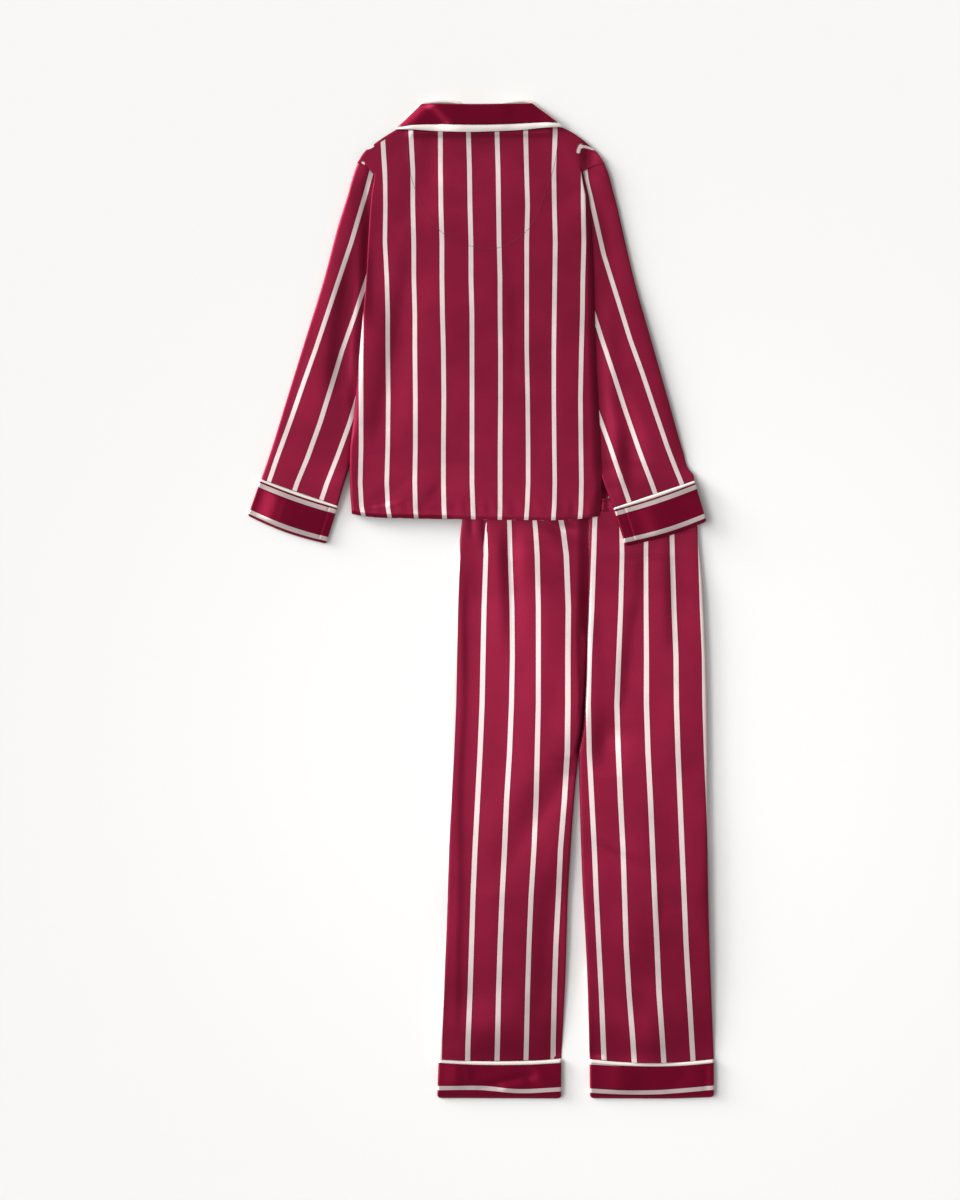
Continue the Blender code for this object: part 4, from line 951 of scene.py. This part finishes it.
# Stripes, folds and hollows are laid out as those of the right leg.
BACK_STRIPES = (
    (673.5, (-184, -142.5, -101.4, -58.6, -18, 23.3, 64.7, 107.4, 148.8)),
    (621.3, (-183, -139.1, -98.5, -58.6, -16.5, 24.8, 66.1, 105.3, 148)),
    (600, (-173.1, -138.7, -98.5, -58.3, -16.2, 25.1, 66.7, 105.6, 148)),
    (569.1, (-173.1, -138.3, -98.5, -57.9, -15.8, 25.5, 67.6, 106, 148)),
    (516.9, (-173.1, -139.1, -97, -56.4, -14.4, 26.2, 66.1, 107.4, 148.8)),
    (464.7, (-173.1, -136.2, -97, -56.4, -14.4, 27.7, 66.1, 106.7, 147.3)),
    (412.5, (-173.1, -134.7, -95.6, -55.7, -12.9, 27.7, 66.1, 106, 146.6)),
    (360.3, (-173.1, -134.7, -95.6, -54.2, -12.9, 28.4, 66.1, 105.3, 145.1)),
    (290.7, (-173.1, -134, -94.8, -53.5, -12.9, 28.4, 67.6, 105.3, 143.7)),
    (221.1, (-173.1, -134.7, -94.8, -54.2, -12.9, 27.7, 68.3, 106, 144.4)),
    (168.9, (-174.3, -136.2, -95.6, -54.2, -12.9, 27.7, 68.3, 106.7, 145.1)),
    (134.1, (-172.5, -134.7, -94.8, -53.5, -11.5, 27.7, 66.8, 106, 144.4)),
    (116, (-168.5, -131.5, -93.5, -52.5, -10.8, 27.2, 65.4, 104.6, 143)),
)
BACK_FOLDS = (
    (4, 12, ((-188, 240, 0), (-189.5, 200, 1), (-189, 150, 1), (-186, 128, 0))),
    (18, 32, ((-88, 543, 0), (-101, 489, -1.1), (-110, 434, -2.4), (-120, 376, -2.7), (-131, 318, -2.6),
        (-143, 260, -2.3), (-153, 210, 0))),
    (14, 32, ((-50, 195, 0), (-54, 173, -0.8), (-66, 149, -1.4), (-84, 130, 0))),
    (32, 20, ((-93, 188, 0), (-115, 165, -1), (-136, 144, -1.6), (-169, 130, 0))),
    (26, 32, ((-86, 637, 0), (-90, 608, -0.7), (-104, 558, -1.3), (-133, 507, 0))),
    (12, 32, ((38, 521, 0), (52, 434, -0.5), (50, 318, -0.5), (45, 246, 0))),
    (25, 28, ((123, 666, 0), (115, 630, -0.4), (115, 579, -0.6), (107, 521, 0))),
    (25, 7, ((100, 434, 0), (103, 362, -0.5), (104, 289, -0.3), (107, 231, 0))),
    (23, 30, ((-144, 640, 0), (-141, 600, -0.6), (-143, 558, -1.2), (-140, 521, 0))),
    (13, 32, ((-152, 536, 0), (-155, 463, -2.5), (-153, 376, 0.3), (-168, 289, 0))),
)
BACK_HOLLOWS = (
    (-70, 654, 14, 80, -0.6), (137, 112, 15, 23, -0.8),
)
CREAM_BITS = (
    # from x, y, to x, y, half width: ends of stripes that come over the shoulder seams
    (-162.5, 653.4, -156, 656.4, 1.5), (-170.8, 631.6, -168.6, 630.4, 1.1),
    (141.5, 648, 145.2, 657.4, 2.5), (149, 655.9, 165.8, 651.6, 2.1),
)
CAP_SEAM = ((151.9, 570), (150.9, 585), (142.3, 628.6), (141, 645), (141, 680))
HALF_MOON = ((-107.2, 666), (-104, 625), (-97.3, 599.6), (-82.5, 564.8), (-59.3, 532.9),
    (-15.8, 511.1), (25.7, 508.2), (56.7, 524.2), (68.3, 535), (82.8, 559), (92.2, 583.6),
    (107, 632.9), (111.8, 665))


def across_shares(width, step, lead):
    """Shares across a width at an even step, closer together inside the lead at either rolled edge."""
    first = lead / width
    close = first * np.array([0.0, 0.04, 0.14, 0.3, 0.5, 0.74])
    return np.concatenate([close, np.linspace(first, 1.0 - first, int(width / step)), 1.0 - close[::-1]])


def quarter_round(share):
    """Quarter circle over a share of its width: the root of one less the square of what is missing."""
    return np.sqrt(1.0 - (1.0 - np.clip(share, 0.0, 1.0)) ** 2)


def back_top(x, y):
    """Top of the back: its lie with the soft folds and the hem's puckers, and never in the fronts."""
    puckers = 0.12 * np.exp(-((y - 132.0) / 9.0) ** 2) * np.sin(x / 3.1 + 1.7 * np.sin(x / 23.0))
    at_neck = 2.2 * ease(y, 664.0, 678.0) * ease(np.abs(x), 112.0, 96.0)
    top = back_lie(x, y) + at_neck + long_folds(x, y, BACK_FOLDS) + hollows(x, y, BACK_HOLLOWS) + puckers
    return np.maximum(top, front_floor(x, y) + np.where(x < 14.0, left_over_right(x), 0.0) + CLOTH + 1.0)


u, v = np.meshgrid(across_shares(BACK_WIDTH, BACK_STEP, ROLL_RIGHT), BACK_ROWS)
x, y = plan_between(joined(BODY_LEFT, ARMHOLE_LEFT), joined(BODY_RIGHT, ARMHOLE_RIGHT), fine_line(HEM),
                    joined(SHOULDER_LEFT, NECKLINE, SHOULDER_RIGHT), u, v)
roll_left = 1.2 + 7.8 * ease(y, 430.0, 370.0) * ease(y, 215.0, 265.0)
slant = np.sin(0.5 * np.pi * np.clip((1.0 - u) * BACK_WIDTH / ROLL_RIGHT, 0.0, 1.0))
rolled = np.minimum.reduce([
    quarter_round(BACK_WIDTH * np.minimum(u / roll_left, (1.0 - u) / BACK_ROLL)),
    quarter_round((1.0 - v) * BACK_LENGTH / BACK_ROLL), np.where(u > 0.5, slant, 1.0)])
# The edges come down on the fronts, past them on the sleeve's end, and at the armhole only a little.
low = front_floor(x, y) + CLOTH + 0.9
beyond_front = over_trousers(x, y) + 0.5 + SLEEVE_FLAT * ease(y, 150.0, 190.0)
low = low + ease(x - beside(BODY_RIGHT, y), -9.0, -3.0) * (beyond_front - low)
low = low + ease(y, 608.0, 618.0) * (back_top(x, y) - 0.8 - low)
z = low + (back_top(x, y) - low) * rolled * (0.84 + 0.16 * ease(v * BACK_LENGTH, 0.0, 5.0))
back = cloth_piece("back_panel", x, y, z, stripe_number(x, y, BACK_STRIPES), y, shirt_satin)
# Ends of stripes are added at the shoulders, and woven stripes are hidden past the shoulder seams.
inside = np.max([half_width - from_line(x, y, *ends)[1] for *ends, half_width in CREAM_BITS], axis=0)
on_cap = np.where(y > 570.0, x - beside(CAP_SEAM, y), -1.0)
past_shoulder = np.where(np.abs(x + 140.0) < 14.0, y - 664.5 - 0.66 * (x + 141.0), -1.0)
mark_stripes(back, np.where(inside > -0.4, inside, -np.maximum.reduce([on_cap, past_shoulder, 0.0 * x])))

# Thread for the half-moon stitches: its own twist of lighter and darker ply, and darker than the cloth as
# painted shade of the seam line.
thread = new_finish("thread_with_painted_seam_shade")
place = finish_step(thread, "TexCoord", out="Object")
ply = finish_step(thread, "TexWave", {"Vector": place, "Scale": 900.0}, "Fac")
twist_and_seam_shade = two_tone(thread, ply, (0.035, 0.003, 0.008), (0.12, 0.008, 0.025))
feed_finish(thread, "Principled BSDF", {"Base Color": twist_and_seam_shade, "Roughness": 0.6})


def stitches(name, line, height, pitch=3.3, length=2.6, thick=0.9):
    """Row of stitches along a line: short six-sided spindles that dip into the cloth at their ends."""
    line = fine_line(line, 40)
    total = np.linalg.norm(np.diff(line, axis=0), axis=1).sum()
    count = int(total / pitch)
    middle = (np.arange(count) + 0.5) / count
    part = np.array([-0.5, -0.28, 0.0, 0.28, 0.5])
    size = np.array([0.15, 0.8, 1.0, 0.8, 0.15])
    dip = np.array([-0.25, 0.05, 0.12, 0.05, -0.25])
    px, py = read_off(line, middle[:, None] + part[None] * length / total)
    wx, wy = px[:, -1:] - px[:, :1], py[:, -1:] - py[:, :1]
    reach = np.hypot(wx, wy)
    wx, wy = (wx / reach)[..., None], (wy / reach)[..., None]
    angle = np.arange(6) * np.pi / 3.0
    out = 0.5 * thick * size[None, :, None] * np.cos(angle)
    rise = 0.5 * thick * size[None, :, None] * np.sin(angle)
    points = np.stack([px[..., None] + wy * out, py[..., None] - wx * out,
                       (LOFT * height(px, py) + dip)[..., None] + rise], axis=-1).reshape(-1, 3)
    start = 30 * np.arange(count)[:, None, None]
    caps = np.array([[5, 4, 3, 2, 1, 0], [24, 25, 26, 27, 28, 29]])
    sides, ends = (start + tube_faces(5, 6)).reshape(-1, 4), (start + caps).reshape(-1, 6)
    return plain_piece(name, points, sides.tolist() + ends.tolist(), thread)


seam_row = stitches("half_moon_stitches", HALF_MOON, back_top)
place_piece(seam_row, "striped_satin")
place_piece(back, "striped_satin", "shirt_back")

# ---------------------------------------------------------------- Collar fall
# The collar rolls over at the top of the neck and falls on the back. It is cut across the cloth, its
# lower edge is one broad cream stripe, and a plain stand holds it from inside.
COLLAR_LEFT = ((-122.5, 682.4), (-105, 699.5), (-85.5, 718.5))
COLLAR_RIGHT = ((120.5, 682.8), (97, 701), (72.5, 719.5))
COLLAR_TOP = ((-85.5, 718.5), (-5.5, 717.5), (72.5, 719.5))
COLLAR_BAND_TOP = ((-121.5, 683.6), (-98.5, 686.5), (-59.5, 687.3), (-20, 686.3), (20.5, 687),
    (56.5, 688.8), (93, 690.5), (112, 690))
COLLAR_BAND_EDGE = ((-124.5, 680.3), (-98.5, 679.2), (-59.5, 676.5), (-20, 675), (20.5, 676.5),
    (56.5, 678.5), (93, 682), (119.5, 683))
COLLAR_WIDTH = 235.0
COLLAR_DEPTH = 32.0
COLLAR_ROLL = 4.2
COLLAR_LOW = 2.2        # height of the collar's outer edges
COLLAR_ROWS = np.concatenate([np.linspace(0.0, 0.86, 18),
                              1.0 - 0.13 * np.array([0.7, 0.45, 0.25, 0.1, 0.03, 0.0])])
FALL_TOP = 10.0
FALL_DROP = 4.0         # how much lower its left edge lies
FALL_DROP_REACH = 25.0
FALL_STEP_RISE = 3.2
FALL_STEP_RUN = 110.0   # how far past the step its rise is lost again
FALL_FOLDS = ((40.0, 704.0, 92.0, 698.0, 26.0, -1.2),)      # from x, y, to x, y, half width, height
FALL_STEP = ((-49.2, 689.5), (-70.9, 712.6))


def fall_top(x, y, reach=25.0):
    """Top of the fall: a quarter wave up from its left edge, a soft step over the reach, then slowly down."""
    from_edge = np.clip((x - beside(COLLAR_LEFT, y)) / FALL_DROP_REACH, 0.0, 1.0)
    from_step = x - beside(FALL_STEP, y)
    step = FALL_STEP_RISE * (ease(from_step, -0.5 * reach, 0.5 * reach) - ease(from_step, 0.0, FALL_STEP_RUN))
    return FALL_TOP - FALL_DROP * (1.0 - np.sin(0.5 * np.pi * from_edge)) + step + folds(x, y, FALL_FOLDS)


across = across_shares(COLLAR_WIDTH, 1.8, 4.0)
u, v = np.meshgrid(across, COLLAR_ROWS)
x, y = plan_between(fine_line(COLLAR_LEFT), fine_line(COLLAR_RIGHT), fine_line(COLLAR_BAND_TOP),
                    fine_line(COLLAR_TOP), u, v)
from_side = np.minimum(u, 1.0 - u) * COLLAR_WIDTH
rolled = quarter_round(np.minimum(from_side, (1.0 - v) * COLLAR_DEPTH) / COLLAR_ROLL)
z = COLLAR_LOW + (fall_top(x, y) - COLLAR_LOW) * rolled
fall = cloth_piece("collar_fall", x, y, z, crosscut(y, 700.0), x, crosswise)

u, v = np.meshgrid(across, PIPING_ROWS)
x, y = plan_above(fine_line(COLLAR_BAND_EDGE), fine_line(np.array(COLLAR_BAND_TOP) - (0.0, 0.7)), u, v)
rounded = quarter_round(np.minimum(u, 1.0 - u) * COLLAR_WIDTH / 20.0)
rib = 0.9 * (2.0 * np.abs(v - 0.45)) ** 2.2
z = COLLAR_LOW + (fall_top(x, y, 44.0) + 0.3 - rib - COLLAR_LOW) * (0.85 + 0.15 * rounded)
edge = cloth_piece("collar_edge", x, y, z, v, x, piping_satin, wall=1.0)

u, v = np.meshgrid(np.linspace(0.0, 1.0, 40), np.linspace(0.0, 1.0, 8))
x, y = plan_above(fine_line(((-78, 697.1), (-8.5, 699.8), (70, 697.6))),
                  fine_line(((-78, 715.5), (-8.5, 715.3), (68, 715.8))), u, v)
stand = cloth_piece("neck_stand", x, y, 3.7 + CLOTH + 0.0 * x, crosscut(y, 700.0), x, crosswise)
place_piece(fall, "striped_satin", "collar")
place_piece(edge, "cream_piping", "collar_piping")
place_piece(stand, "striped_satin", "collar_stand")
